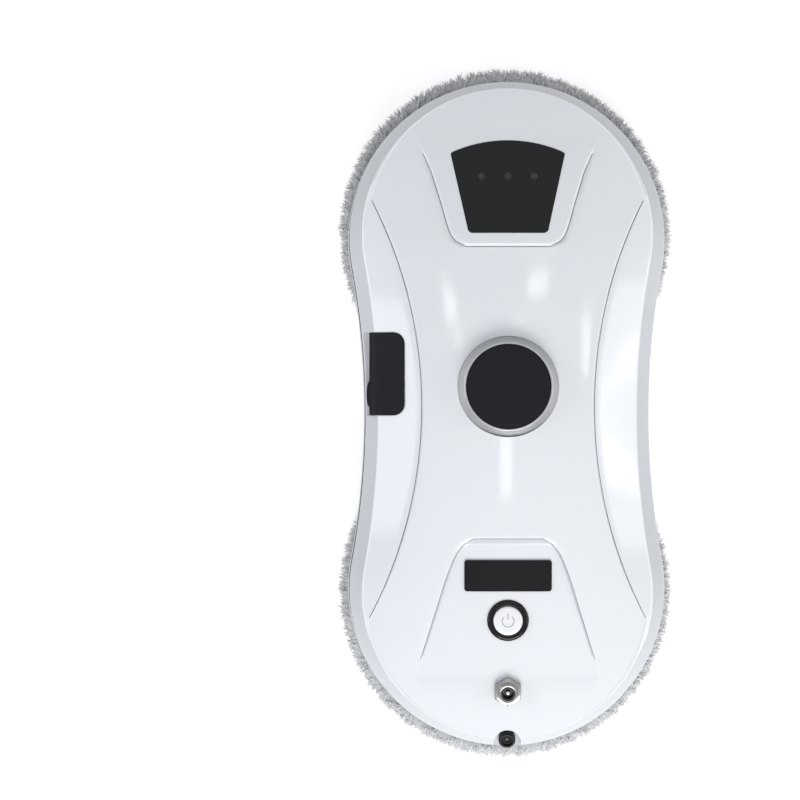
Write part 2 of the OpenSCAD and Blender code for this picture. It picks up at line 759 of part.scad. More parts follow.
// The cap lies a little under the ring's rim, and the ring is let into the deck
cap_sink = 0.5;
ring_sink = 1;
cap_seat_z = crown_z + ring_rise - cap_t - cap_sink;
ring_seat_z = top_z(ring_r, cap_y) - ring_sink;
ring_wall = 1.8;
ring_seat_w = 2;
spigot_r = cap_r + ring_wall;
spigot_h = 4;
socket_hole_r = socket_r + fit_gap;
socket_pad_t = 1;
nut_room_share = 1.25;
button_flange_w = 1;
button_flange_t = 1;
button_tube_r = button_ring_r - button_flange_w;
button_depth = 9;
led_boss_r = 2.4;
flange_w = 1.6;
led_boss_x = window_high_half + flange_w + led_boss_r + thrust_gap;
led_board_drop = 3;
led_screw_r = 1.05;
led_screw_end = 1;
led_board_z = top_z(led_boss_x, light_y) - wall_t - led_board_drop - board_t;
module at_led_bosses() {
    for (x = [-1, 1]) translate([x * led_boss_x, light_y, 0]) children();
}
// Share of the deck's thickness that is left over the window's flange
seat_share = 0.7;
arch_shares = [0, 0.2, 0.4, 0.6, 0.8, 0.94];
// Rows of the window's outline, grown by g: rounded low corners, flared sides, arched top
function window_places(g) =
    let (half_at = function(y) window_low_half + (window_high_half - window_low_half)
        * (y - window_y) / window_len + g)
    let (c = window_corner + g)
    let (low = window_y - g)
    let (high = window_y + window_len)
    concat(
        [for (a = [0, 30, 60, 90]) [low + c * (1 - cos(a)), half_at(low + c) - c * (1 - sin(a))]],
        [for (i = [1:3]) let (y = low + c + (high - low - c) * i / 4) [y, half_at(y)]],
        [for (u = arch_shares)
            [high + (window_arch + g) * u, half_at(high) * sqrt(1 - u * u)]]);

module top_cover() {
    color(white) difference() {
        union() {
            cover_shell();
            // Screw bosses rise into the band's thickness
            at_case_screws() translate([0, 0, tower_top + thrust_gap])
                cylinder(r = boss_r, h = deck_z - wall_t - boss_top_gap - tower_top - thrust_gap);
            // Seat for the silver ring
            translate([0, cap_y, ring_seat_z - spigot_h])
                cylinder(r = ring_r + ring_seat_w, h = spigot_h - cap_sink);
            at_led_bosses() translate([0, 0, led_board_z + board_t])
                cylinder(r = led_boss_r, h = led_board_drop + wall_t / 2);
            filler_pocket_block();
            translate([-port_x, filler_y, tank_top + seal_t])
                cylinder(r = neck_r, h = filler_mid_z - tank_top - seal_t);
            // Walls and floor round the rear notch
            intersection() {
                slab(rim_w + wall_t / 2, notch_floor - wall_t, notch_drop + notch_wall_rise + wall_t);
                translate([0, 0, seam_z]) linear_extrude(crown_z) notch_plan(wall_t);
            }
            on_deck(-socket_y) translate([0, 0, -wall_t - socket_pad_t])
                cylinder(r = nut_flats / 2, h = wall_t);
        }
        translate([0, cap_y, ring_seat_z]) cylinder(r = ring_r + fit_gap, h = crown_h);
        translate([0, cap_y, deck_z]) cylinder(r = spigot_r + fit_gap, h = 2 * crown_h);
        deck_plate(window_places(fit_gap), lift_h + over, -2 * wall_t);
        deck_plate(window_places(flange_w + fit_gap), -seat_share * wall_t, -3 * wall_t);
        on_deck(-button_y) translate([0, 0, -button_depth])
            cylinder(r = button_tube_r + fit_gap, h = 2 * button_depth);
        on_deck(-button_y) cylinder(r = button_ring_r + fit_gap, h = button_depth);
        on_deck(-socket_y) translate([0, 0, -socket_len]) cylinder(r = socket_hole_r, h = 2 * socket_len);
        on_deck(-socket_y) cylinder(r = nut_room_share * nut_flats / 2, h = socket_len);
        translate([0, 0, notch_floor]) linear_extrude(crown_z) notch_plan(0);
        at_nozzle() translate([0, 0, -nozzle_len]) cylinder(r = nozzle_r + fit_gap, h = 2 * nozzle_len);
        filler_prism(pocket_profile, thrust_gap, 2 * band_w);
        filler_tab(2 * band_w, thrust_gap, crown_h);
        translate([-port_x, filler_y, tank_top]) cylinder(r = port_r + fit_gap, h = crown_h);
        exhaust_slots();
        at_case_screws() translate([0, 0, base_z])
            cylinder(r = screw_r + run_gap, h = band_z - case_hole_end - base_z);
        at_led_bosses() translate([0, 0, led_board_z])
            cylinder(r = led_screw_r + run_gap, h = led_board_drop);
    }
}

// Status window, lights and their board
module status_window() {
    color(black) union() {
        deck_plate(window_places(0), fit_gap, -seat_share * wall_t - fit_gap - flange_t / 2);
        deck_plate(window_places(flange_w),
            -seat_share * wall_t - fit_gap, -seat_share * wall_t - fit_gap - flange_t);
    }
}
module status_leds() {
    under = top_z(light_step + light_r, light_y + light_r)
        - seat_share * wall_t - flange_t - 2 * thrust_gap;
    color("white") for (i = [-1:1])
        translate([i * light_step, light_y, led_board_z + board_t])
            cylinder(r = light_r, h = under - led_board_z - board_t);
}
led_board_len = 11;
module led_board() {
    w = led_boss_x + led_boss_r;
    color(green) difference() {
        block([-w, w], about(light_y, led_board_len), [led_board_z, led_board_z + board_t]);
        at_led_bosses() translate([0, 0, led_board_z - over])
            cylinder(r = led_screw_r + run_gap, h = board_t + 2 * over);
    }
}
module led_screws() {
    color(steel) at_led_bosses() translate([0, 0, led_board_z - head_h]) {
        cylinder(r = led_boss_r, h = head_h);
        translate([0, 0, head_h / 2])
            cylinder(r = led_screw_r, h = head_h / 2 + led_board_drop - led_screw_end);
    }
}

// Silver ring and cap over the fan
module center_ring() {
    bevel = ring_r - cap_r - ring_wall / 2;
    top = crown_z + ring_rise;
    color(silver) translate([0, cap_y, 0]) difference() {
        rotate_extrude() polygon([
            [0, ring_seat_z], [ring_r, ring_seat_z], [ring_r, ring_seat_z + bevel],
            [ring_r - bevel, top], [0, top]]);
        translate([0, 0, cap_seat_z]) cylinder(r = cap_r + fit_gap, h = ring_rise + cap_t);
        translate([0, 0, ring_seat_z - over]) cylinder(r = cap_r - ring_wall, h = crown_z);
    }
}
module center_cap() {
    color(black) translate([0, cap_y, cap_seat_z]) union() {
        cylinder(r = cap_r, h = cap_t);
        translate([0, 0, -ring_sink])
            cylinder(r = cap_r - ring_wall - fit_gap, h = ring_sink + cap_t / 2);
    }
}

// Rear panel: label plate, power button and power socket
module label_plate() {
    places = [for (y = even(-label_y - label_len / 2, -label_y + label_len / 2, 4)) [y, label_w / 2]];
    color(black) deck_plate(
        concat([[-label_y - label_len / 2, label_w / 2]], places), label_t + fit_gap, fit_gap);
}
button_floor = 1.5;
button_t = 3;
button_rise = 0.9;
button_low = button_flange_t + button_rise - button_t;
// The pressed button just reaches the switch
switch_h = button_low + button_depth - button_floor - button_travel - fit_gap;
// The switch's width as a share of the button's radius, and its body's share of its height
switch_share = 0.75;
switch_body_share = 0.7;
module button_ring() {
    color(black) on_deck(-button_y) difference() {
        union() {
            translate([0, 0, -button_depth])
                cylinder(r = button_tube_r, h = button_depth + button_flange_t / 2);
            cylinder(r = button_ring_r, h = button_flange_t);
        }
        translate([0, 0, button_floor - button_depth])
            cylinder(r = button_r + run_gap, h = 2 * button_depth);
        translate([0, 0, -button_depth - over]) cylinder(r = mouth_r, h = button_depth);
    }
}
module power_button() {
    color("white") on_deck(-button_y) translate([0, 0, button_low]) difference() {
        cylinder(r = button_r, h = button_t);
        translate([0, 0, -over]) tube(button_r - ring_wall / 2, button_r / 3, over + button_t / 3);
    }
}
module button_switch() {
    color(dark) on_deck(-button_y) translate([0, 0, button_floor - button_depth]) {
        w = button_r * switch_share;
        translate([-w / 2, -w / 2, 0]) cube([w, w, switch_h * switch_body_share]);
        cylinder(r = w / 4, h = switch_h);
    }
}
// A round wire along a path of points
module wire(path, r, sides) {
    n = len(path);
    points = [for (i = [0:n - 1])
        let (d = path[min(i + 1, n - 1)] - path[max(i - 1, 0)])
        let (along = d / norm(d))
        let (side = cross(along, [0, 0, 1]) / norm(cross(along, [0, 0, 1])))
        let (up = cross(side, along))
        for (a = [0:sides - 1])
            path[i] + r * (cos(360 * a / sides) * side + sin(360 * a / sides) * up)];
    skin_quads = flat([for (i = [0:n - 2], a = [0:sides - 1])
        let (b = (a + 1) % sides)
        quad(i * sides + a, i * sides + b, (i + 1) * sides + b, (i + 1) * sides + a)]);
    ends = [[for (a = [sides - 1:-1:0]) a], [for (a = [0:sides - 1]) (n - 1) * sides + a]];
    polyhedron(points, concat(skin_quads, ends));
}
spring_wire_r = 0.3;
spring_turns = 4;
spring_sides = 6;
spring_r = button_r / 3 + (button_r - ring_wall / 2 - button_r / 3) / 2;
// At rest the spring reaches up into the button's groove
spring_h = button_low + button_t / 3 + button_depth - button_floor - fit_gap;
module button_spring() {
    turn_steps = 14;
    rise = spring_h - 2 * spring_wire_r;
    color(steel) on_deck(-button_y) translate([0, 0, button_floor - button_depth + spring_wire_r])
        wire([for (i = [0:spring_turns * turn_steps])
            let (a = 360 * i / turn_steps)
            [spring_r * cos(a), spring_r * sin(a), rise * i / (spring_turns * turn_steps)]],
            spring_wire_r, spring_sides);
}
socket_len = 13;
socket_flange_t = 2;
// The thread is a plain cylinder at its outer size above the nut, and at its core size below
thread_depth = 0.3;
thread_gap = 0.3;
socket_core_r = socket_r - thread_depth;
insert_len = 8;
insert_floor = 1;
insert_recess = 0.5;
insert_core_share = 0.75;
pin_recess = 1;
insert_low = nut_t + socket_rise - insert_len;
module at_socket() {
    on_deck(-socket_y) children();
}
module dc_socket() {
    color(silver) at_socket() difference() {
        union() {
            translate([0, 0, -socket_len])
                cylinder(r = socket_core_r, h = socket_len + nut_t + socket_rise);
            translate([0, 0, nut_t + thread_gap])
                cylinder(r = socket_r, h = socket_rise - thread_gap);
            translate([0, 0, -wall_t - socket_pad_t - fit_gap - socket_flange_t])
                cylinder(r = nut_flats / 2, h = socket_flange_t);
        }
        translate([0, 0, insert_low]) cylinder(r = insert_r + run_gap, h = 2 * insert_len);
    }
}
module dc_socket_nut() {
    color(silver) at_socket() difference() {
        rotate([0, 0, 30]) cylinder(r = nut_flats / 2 / cos(30), h = nut_t, $fn = 6);
        translate([0, 0, -over]) cylinder(r = socket_core_r + run_gap, h = nut_t + 2 * over);
    }
}
module dc_socket_insert() {
    color(black) at_socket() translate([0, 0, insert_low]) difference() {
        cylinder(r = insert_r, h = insert_len - insert_recess);
        translate([0, 0, insert_floor])
            tube(insert_r * insert_core_share, pin_r + 2 * run_gap, insert_len);
        translate([0, 0, -over]) cylinder(r = pin_r + run_gap, h = insert_len);
    }
}
module dc_socket_pin() {
    color(brass) at_socket() translate([0, 0, insert_low])
        cylinder(r = pin_r, h = insert_len - pin_recess);
}

// Spray nozzle and its atomiser disc
module spray_nozzle() {
    color(black) at_nozzle() difference() {
        union() {
            translate([0, 0, -nozzle_len]) cylinder(r = nozzle_r, h = nozzle_len + nozzle_rise);
            translate([-barb_h - nozzle_r, 0, -nozzle_len + nozzle_r]) rotate([0, 90, 0])
                cylinder(r = barb_r, h = barb_h + nozzle_r);
        }
        translate([0, 0, -nozzle_len + nozzle_r]) cylinder(r = mouth_r, h = 2 * nozzle_len);
        translate([0, 0, nozzle_rise - mouth_recess - atomiser_t])
            cylinder(r = nozzle_r - nozzle_wall, h = mouth_recess + atomiser_t + over);
        translate([-barb_h - nozzle_r - over, 0, -nozzle_len + nozzle_r]) rotate([0, 90, 0])
            cylinder(r = barb_r / 2, h = barb_h + nozzle_r + over);
    }
}
module nozzle_disc() {
    color(silver) at_nozzle() translate([0, 0, nozzle_rise - mouth_recess - atomiser_t])
        tube(nozzle_r - nozzle_wall - run_gap, mouth_r / 2, atomiser_t);
}

// Filler cover with its shallow plug, and the seal under the port
plug_h = 1.2;
plug_gap = 2;
plug_r = port_r - plug_gap;
module fill_cover() {
    color(black) union() {
        filler_prism(concat(filler_low(0, 0), filler_top), 0, 0);
        filler_tab(tab_out, 0, filler_t / 2);
        translate([-port_x, filler_y, filler_under(port_x + plug_r) - plug_h])
            cylinder(r = plug_r, h = filler_under(port_x) - filler_under(port_x + plug_r) + filler_t);
    }
}
module fill_seal() {
    color(black) translate([-port_x, filler_y, tank_top]) tube(neck_r, port_r, seal_t);
}
module tank_section(inset) {
    polygon([
        [-tank_in - inset, tank_z + inset], [-tank_out + inset, tank_z + inset],
        [-tank_out + inset, tank_top - tank_bevel - inset],
        [-tank_out + tank_bevel + inset, tank_top - inset],
        [-tank_in - inset, tank_top - inset]]);
}
module tank_body(inset) {
    translate([0, tank_y + tank_len / 2 - inset, 0]) rotate([90, 0, 0])
        linear_extrude(tank_len - 2 * inset) tank_section(inset);
}
module water_tank() {
    color("lightgrey") difference() {
        tank_body(0);
        tank_body(tank_wall);
        translate([-port_x, filler_y, tank_top - 2 * tank_wall])
            cylinder(r = port_r - port_ledge_w, h = 3 * tank_wall);
        translate([-pump_x, tank_y - tank_len / 2 - over, hose_z]) rotate([-90, 0, 0])
            cylinder(r = hose_r / 2, h = tank_wall + 2 * over);
    }
}
module water_pump() {
    color(dark) translate([-pump_x, pump_y, pump_z]) difference() {
        union() {
            cylinder(r = pump_r, h = pump_h);
            for (side = [1, -1]) translate([0, 0, hose_z - pump_z]) rotate([side * 90, 0, 0])
                cylinder(r = barb_r, h = pump_r + barb_h);
        }
        translate([0, -2 * pump_r, hose_z - pump_z]) rotate([-90, 0, 0])
            cylinder(r = barb_r / 2, h = 4 * pump_r);
    }
}
// Route of the hose from the pump round the rear wheel to the nozzle
nozzle_end = [-nozzle_r - fit_gap, nozzle_y + (nozzle_len - nozzle_r) * sin(nozzle_tilt),
    notch_floor - (nozzle_len - nozzle_r) * cos(nozzle_tilt)];
route_r = -nozzle_end[1] - wheel_y;
// The route starts further in, to pass the case screws' bosses
route_in = norm(case_places[0] + [0, wheel_y]) - boss_r - hose_r - 2 * thrust_gap;
route_start_a = 166;
route_end_a = 258;
route_steps = 22;
hose_sides = 10;
pump_end = [-pump_x, pump_y - pump_r - fit_gap, hose_z];
hose_path = concat(
    [pump_end, pump_end - [0, hose_r, 0]],
    [for (i = [0:route_steps])
        let (s = i / route_steps)
        let (a = route_start_a + (route_end_a - route_start_a) * s)
        let (r = route_in + (route_r - route_in) * s * s)
        [r * cos(a), -wheel_y + r * sin(a), hose_z + (nozzle_end[2] - hose_z) * s * s * (3 - 2 * s)]],
    [nozzle_end - [hose_r, 0, 0], nozzle_end]);
tank_hose_len = -pump_y + tank_y - tank_len / 2 - pump_r - 2 * fit_gap;
module water_hoses() {
    color("white") {
        difference() {
            wire(hose_path, hose_r, hose_sides);
            translate(pump_end + [0, over, 0]) rotate([90, 0, 0])
                cylinder(r = barb_r + run_gap, h = barb_h + over);
            translate(nozzle_end + [over, 0, 0]) rotate([0, -90, 0])
                cylinder(r = barb_r + run_gap, h = barb_h + over);
        }
        translate([-pump_x, pump_y + pump_r + fit_gap, hose_z]) rotate([-90, 0, 0])
            tube(hose_r, barb_r + run_gap, tank_hose_len);
    }
}

// Suction: duct with both hub tubes, grilles, and the fan
hub_low = disc_z + thrust_gap;
grille_t = 1.5;
duct_core = duct_half - duct_wall;
module duct_plan(r) {
    for (y = [-1, 1]) translate([0, y * wheel_y]) circle(r = r);
    translate([-r, -wheel_y]) square([2 * r, 2 * wheel_y]);
}
module air_duct() {
    color(dark) difference() {
        union() {
            translate([0, 0, duct_z]) linear_extrude(duct_h) duct_plan(duct_half);
            at_wheels() translate([0, 0, hub_low])
                cylinder(r = hub_r, h = duct_z - hub_low + duct_wall / 2);
            at_duct_lugs() translate([0, 0, duct_z]) cylinder(r = lug_r, h = lug_t);
            for (y = [-1, 1])
                block([-lug_x, lug_x], about(y * lug_y, 2 * post_r), [duct_z, duct_z + lug_t]);
        }
        difference() {
            translate([0, 0, duct_z + duct_wall]) linear_extrude(duct_h - 2 * duct_wall)
                duct_plan(duct_core);
            at_fan_screws() translate([0, 0, duct_z]) cylinder(r = post_r, h = duct_h);
        }
        at_wheels() translate([0, 0, hub_low - over])
            cylinder(r = hub_bore_r, h = duct_z - hub_low + duct_wall + 2 * over);
        translate([0, cap_y, duct_z + duct_h / 2]) cylinder(r = eye_r, h = duct_h);
        at_fan_screws() translate([0, 0, duct_z + duct_wall]) cylinder(r = screw_r + run_gap, h = duct_h);
        at_duct_lugs() translate([0, 0, duct_z - over])
            cylinder(r = screw_r + fit_gap, h = lug_t + 2 * over);
    }
}
slat_w = 2;
slat_step = 4.4;
module inlet_grilles() {
    r = hub_bore_r - fit_gap / 2;
    color(black) at_wheels() translate([0, 0, hub_low]) difference() {
        cylinder(r = r, h = grille_t);
        for (i = [-3:3]) {
            half = sqrt(pow(r - slat_w, 2) - pow(abs(i * slat_step) + slat_w / 2, 2));
            translate([i * slat_step - slat_w / 2, -half, -over])
                cube([slat_w, 2 * half, grille_t + 2 * over]);
        }
    }
}
gasket_w = 3;
module fan_gasket() {
    color(black) translate([0, cap_y, duct_z + duct_h]) tube(eye_r + gasket_w, eye_r, gasket_t);
}
fan_space = impeller_h + 4 * thrust_gap;
fan_top = fan_z + 2 * fan_wall + fan_space;
outlet_w = 22;
outlet_edge = 0.5;
module fan_housing() {
    color(dark) translate([0, cap_y, fan_z]) difference() {
        union() {
            cylinder(r = fan_r, h = fan_top - fan_z);
            translate([0, 0, fan_top - fan_z]) cylinder(r = fan_motor_r + fit_gap + fan_wall, h = fan_wall);
        }
        translate([0, 0, fan_wall]) cylinder(r = fan_r - fan_wall, h = fan_space);
        translate([0, 0, -over]) cylinder(r = eye_r, h = fan_wall + 2 * over);
        translate([0, 0, fan_wall]) cylinder(r = fan_shaft_r * 2, h = fan_top);
        translate([0, 0, fan_top - fan_z]) cylinder(r = fan_motor_r + fit_gap, h = fan_wall + over);
        translate([-2 * fan_r, -outlet_w / 2, fan_wall + outlet_edge])
            cube([4 * fan_r, outlet_w, fan_space - 2 * outlet_edge]);
        translate([0, -cap_y, -over]) at_fan_screws()
            cylinder(r = screw_r + fit_gap, h = fan_wall + 2 * over);
    }
}
impeller_z = fan_z + fan_wall + 2 * thrust_gap;
plate_t = 1.4;
blade_t = 1.2;
blade_in_share = 0.85;
blade_lean = 38;
// A blade's centre line leans back along an arc from the eye to the rim
function blade_a(s) = blade_lean * s * (2 - s);
module blade() {
    n = 6;
    r_in = eye_r * blade_in_share;
    r_at = function(s) r_in + (impeller_r - r_in - run_gap) * s;
    edge = function(s, side) let (r = r_at(s), a = blade_a(s) + side * blade_t / 2 / r * 180 / PI)
        [r * cos(a), r * sin(a)];
    polygon(concat([for (i = [0:n]) edge(i / n, 1)], [for (i = [n:-1:0]) edge(i / n, -1)]));
}
hub_core_r = 5;
module fan_impeller() {
    color("white") translate([0, cap_y, impeller_z]) difference() {
        union() {
            translate([0, 0, impeller_h - plate_t]) cylinder(r = impeller_r, h = plate_t);
            cylinder(r = hub_core_r, h = impeller_h);
            for (i = [0:blade_count - 1]) rotate([0, 0, 360 * i / blade_count])
                linear_extrude(impeller_h - plate_t / 2) blade();
        }
        translate([0, 0, -over]) cylinder(r = fan_shaft_r + run_gap / 2, h = impeller_h + 2 * over);
    }
}
module fan_shaft() {
    color(steel) translate([0, cap_y, impeller_z])
        cylinder(r = fan_shaft_r, h = fan_top + fan_motor_h / 2 - impeller_z);
}
module fan_motor() {
    color(steel) translate([0, cap_y, fan_top]) difference() {
        cylinder(r = fan_motor_r, h = fan_motor_h);
        translate([0, 0, -over]) cylinder(r = fan_shaft_r + run_gap, h = fan_motor_h / 2 + 2 * over);
    }
}
module fan_screws() {
    color(steel) at_fan_screws() translate([0, 0, fan_z + fan_wall + head_h]) mirror([0, 0, 1])
        screw(duct_h - duct_wall);
}
module duct_screws() {
    color(steel) at_duct_lugs() translate([0, 0, duct_z + lug_t + head_h]) mirror([0, 0, 1])
        screw(duct_z - floor_z);
}

// Wheels
locating_w = 1.6;
clip_z = gear_z + gear_t;
module wheel() {
    locating_r = pad_bore_r - thrust_gap;
    color(black) difference() {
        union() {
            translate([0, 0, disc_z]) cylinder(r = disc_r, h = disc_t);
            translate([0, 0, disc_z]) cylinder(r = collar_r, h = collar_top - disc_z);
            translate([0, 0, disc_z - pad_t / 2])
                tube(locating_r, locating_r - locating_w, pad_t / 2 + disc_t / 2);
        }
        translate([0, 0, disc_z - over])
            cylinder(r = collar_bore_r, h = collar_top - disc_z + 2 * over);
        translate([0, 0, clip_z]) tube(collar_r + over, collar_r - clip_groove, clip_t);
    }
}
hook_edge_w = 1;
module hook_ring() {
    color(dark) translate([0, 0, pad_t]) tube(disc_r - hook_edge_w, pad_bore_r, hook_t);
}
pad_lip = 2;
module mop_pad() {
    color(fibre) rotate_extrude() polygon([
        [pad_bore_r, 0], [pad_r - pad_lip, 0], [pad_r, pad_lip], [pad_r, pad_t - pad_lip / 2],
        [pad_r - pad_lip / 2, pad_t], [pad_bore_r, pad_t]]);
}
module hub_bush() {
    color(brass) translate([0, 0, hub_low])
        tube(collar_bore_r - run_gap / 2, hub_r + run_gap, collar_top - hub_low - thrust_gap);
}
module drive_gear() {
    color("white") difference() {
        translate([0, 0, gear_z]) linear_extrude(gear_t) polygon(gear_outline(gear_teeth));
        translate([0, 0, gear_z - over])
            cylinder(r = collar_r + run_gap / 2, h = gear_t + 2 * over);
    }
}
module hub_clip() {
    color(steel) translate([0, 0, clip_z + run_gap]) difference() {
        tube(collar_r + clip_w, collar_r - clip_groove + run_gap, clip_t - 2 * run_gap);
        translate([-clip_w / 2, 0, -over]) cube([clip_w, 2 * collar_r, clip_t + 2 * over]);
    }
}
module pinion() {
    color(brass) translate([-gear_center, 0, gear_z]) union() {
        rotate([0, 0, 180 / pinion_teeth + (gear_teeth % 2) * 180 / pinion_teeth])
            linear_extrude(gear_t) polygon(gear_outline(pinion_teeth));
        cylinder(r = motor_shaft_r, h = motor_z - gear_z + gearbox_h / 2);
    }
}
module gear_motor() {
    color(steel) difference() {
        union() {
            translate([-gear_center, 0, motor_z]) {
                cylinder(r = gearbox_r, h = gearbox_h);
                translate([0, 0, gearbox_h]) cylinder(r = can_r, h = can_h);
            }
            at_motor_posts() translate([0, 0, motor_z]) {
                cylinder(r = post_r, h = lug_t);
                translate([-post_r - lug_gap, -post_r, 0]) cube([post_r + lug_gap, 2 * post_r, lug_t]);
            }
        }
        translate([-gear_center, 0, motor_z - over])
            cylinder(r = motor_shaft_r + run_gap, h = gearbox_h / 2 + 2 * over);
        at_motor_posts() translate([0, 0, motor_z - over])
            cylinder(r = screw_r + fit_gap, h = gearbox_h);
    }
}
module motor_screws() {
    color(steel) at_wheels() at_motor_posts() translate([0, 0, motor_z + lug_t + head_h])
        mirror([0, 0, 1]) screw(motor_z - floor_z);
}

// Control board, battery and case screws
chip_t = 1.4;
// Chips and plugs on the board: spans as shares of its width and length, and their height in chips
chip_shares = [
    [-0.25, -0.08, -0.125, 0.125, 1], [0.125, 0.33, -0.25, 0.125, 2],
    [-0.32, -0.18, 0.375, 0.48, 3], [-0.07, 0.07, 0.375, 0.48, 3], [0.18, 0.32, 0.375, 0.48, 3]];
module control_board() {
    color(green) difference() {
        union() {
            block([-board_w, board_w] / 2, [-board_len, board_len] / 2, [board_z, board_z + board_t]);
            for (s = chip_shares)
                block([s[0], s[1]] * board_w, [s[2], s[3]] * board_len,
                    [board_z + board_t / 2, board_z + board_t + chip_t * s[4]]);
        }
        at_board_screws() translate([0, 0, board_z - over])
            cylinder(r = screw_r + fit_gap, h = board_t + 2 * over);
    }
}
module board_screws() {
    color(steel) at_board_screws() translate([0, 0, board_z + board_t + head_h]) mirror([0, 0, 1])
        screw(board_t + board_post_h);
}
holder_wall = 0.8;
cell_room = cell_r + fit_gap;
holder_fan_gap = 3;
cell_nest = 1;
holder_in = fan_r + holder_fan_gap;
lower_cell = [tank_out - cell_room - holder_wall, floor_z + fit_gap + holder_wall + cell_room];
upper_cell = [holder_in + cell_room + holder_wall,
    lower_cell[1] + 2 * cell_room + holder_wall - cell_nest];
holder_len = 2 * cell_len + 3 * holder_wall + 4 * fit_gap;
module along_y(place, y) {
    translate([place[0], y, place[1]]) rotate([-90, 0, 0]) children();
}
module battery_holder() {
    r = cell_room + holder_wall;
    low = floor_z + fit_gap;
    color(dark) difference() {
        translate([0, holder_len / 2, 0]) rotate([90, 0, 0]) linear_extrude(holder_len) polygon([
            [lower_cell[0] - r, low], [lower_cell[0] + r, low], [lower_cell[0] + r, lower_cell[1] + r / 2],
            [upper_cell[0] + r, upper_cell[1] + r / 3], [upper_cell[0] + r / 3, upper_cell[1] + r],
            [upper_cell[0] - r, upper_cell[1] + r], [upper_cell[0] - r, upper_cell[1] - r],
            [lower_cell[0] - r, lower_cell[1] - r / 2]]);
        for (place = [lower_cell, upper_cell], side = [-1, 1])
            along_y(place, side > 0 ? holder_wall / 2 : -holder_wall / 2 - cell_len - 2 * fit_gap)
                cylinder(r = cell_room, h = cell_len + 2 * fit_gap);
        for (place = [lower_cell, upper_cell])
            along_y(place, -holder_len) cylinder(r = cell_room / 2, h = 2 * holder_len);
    }
}
module battery_cells() {
    color("steelblue") for (place = [lower_cell, upper_cell], side = [-1, 1])
        along_y(place, side > 0 ? holder_wall / 2 + fit_gap : -holder_wall / 2 - cell_len - fit_gap)
            cylinder(r = cell_r, h = cell_len);
}
module case_screws() {
    color(steel) at_case_screws() translate([0, 0, tower_seat - head_h]) screw(case_screw_len);
}

base_plate();
top_cover();
status_window();
status_leds();
led_board();
led_screws();
center_ring();
center_cap();
label_plate();
button_ring();
power_button();
button_spring();
button_switch();
dc_socket();
dc_socket_nut();
dc_socket_insert();
dc_socket_pin();
spray_nozzle();
nozzle_disc();
fill_cover();
fill_seal();
water_tank();
water_pump();
water_hoses();
air_duct();
inlet_grilles();
fan_gasket();
fan_housing();
fan_impeller();
fan_shaft();
fan_motor();
fan_screws();
duct_screws();
at_wheel(1) wheel();  // front_wheel
at_wheel(-1) wheel();  // rear_wheel
at_wheel(1) hook_ring();  // front_hook_ring
at_wheel(-1) hook_ring();  // rear_hook_ring
at_wheel(1) mop_pad();  // front_mop_pad
at_wheel(-1) mop_pad();  // rear_mop_pad
at_wheel(1) hub_bush();  // front_hub_bush
at_wheel(-1) hub_bush();  // rear_hub_bush
at_wheel(1) drive_gear();  // front_drive_gear
at_wheel(-1) drive_gear();  // rear_drive_gear
at_wheel(1) hub_clip();  // front_hub_clip
at_wheel(-1) hub_clip();  // rear_hub_clip
at_wheel(1) pinion();  // front_pinion
at_wheel(-1) pinion();  // rear_pinion
at_wheel(1) gear_motor();  // front_gear_motor
at_wheel(-1) gear_motor();  // rear_gear_motor
motor_screws();
control_board();
board_screws();
battery_holder();
battery_cells();
case_screws();
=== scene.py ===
import json
import math
import random

import bmesh
import bpy
from mathutils import Matrix, Vector


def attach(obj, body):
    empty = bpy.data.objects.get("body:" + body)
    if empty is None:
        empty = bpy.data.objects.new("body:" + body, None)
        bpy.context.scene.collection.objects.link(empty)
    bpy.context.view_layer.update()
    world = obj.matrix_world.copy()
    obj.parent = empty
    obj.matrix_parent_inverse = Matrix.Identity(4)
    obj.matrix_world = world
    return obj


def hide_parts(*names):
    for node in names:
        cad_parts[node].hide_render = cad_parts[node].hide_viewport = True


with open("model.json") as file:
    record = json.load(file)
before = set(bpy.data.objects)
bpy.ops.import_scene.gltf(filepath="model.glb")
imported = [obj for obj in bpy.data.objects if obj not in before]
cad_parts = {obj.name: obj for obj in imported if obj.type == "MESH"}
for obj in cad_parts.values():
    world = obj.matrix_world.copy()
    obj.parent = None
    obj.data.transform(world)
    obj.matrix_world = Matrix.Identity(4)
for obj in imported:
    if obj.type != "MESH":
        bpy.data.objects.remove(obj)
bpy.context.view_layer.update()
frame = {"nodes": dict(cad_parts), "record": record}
random.seed(11)

MM = 0.001
SHARP = math.radians(28)
# Least value that anything is divided by, and how far cutters run past what they cut
LEAST = 0.01
OVER = 1
CUT_OVER = 9

# Body outline and levels
LOBE_R = 68
LOBE_Y = 74.5
WAIST_HALF = 61.2
WALL_T = 2.4
RIM_W = 0.8
PARTING_OUT = 0.42
PARTING_H = 0.9
BAND_W = 6
BAND_END_W = 4
DISC_TOP = 13
BASE_Z = 14.5
FLOOR_Z = 17
SEAM_Z = 30
BAND_Z = 42
DECK_Z = 49
CROWN_H = 17
CROWN_Z = DECK_Z + CROWN_H
END_Y = LOBE_Y + LOBE_R

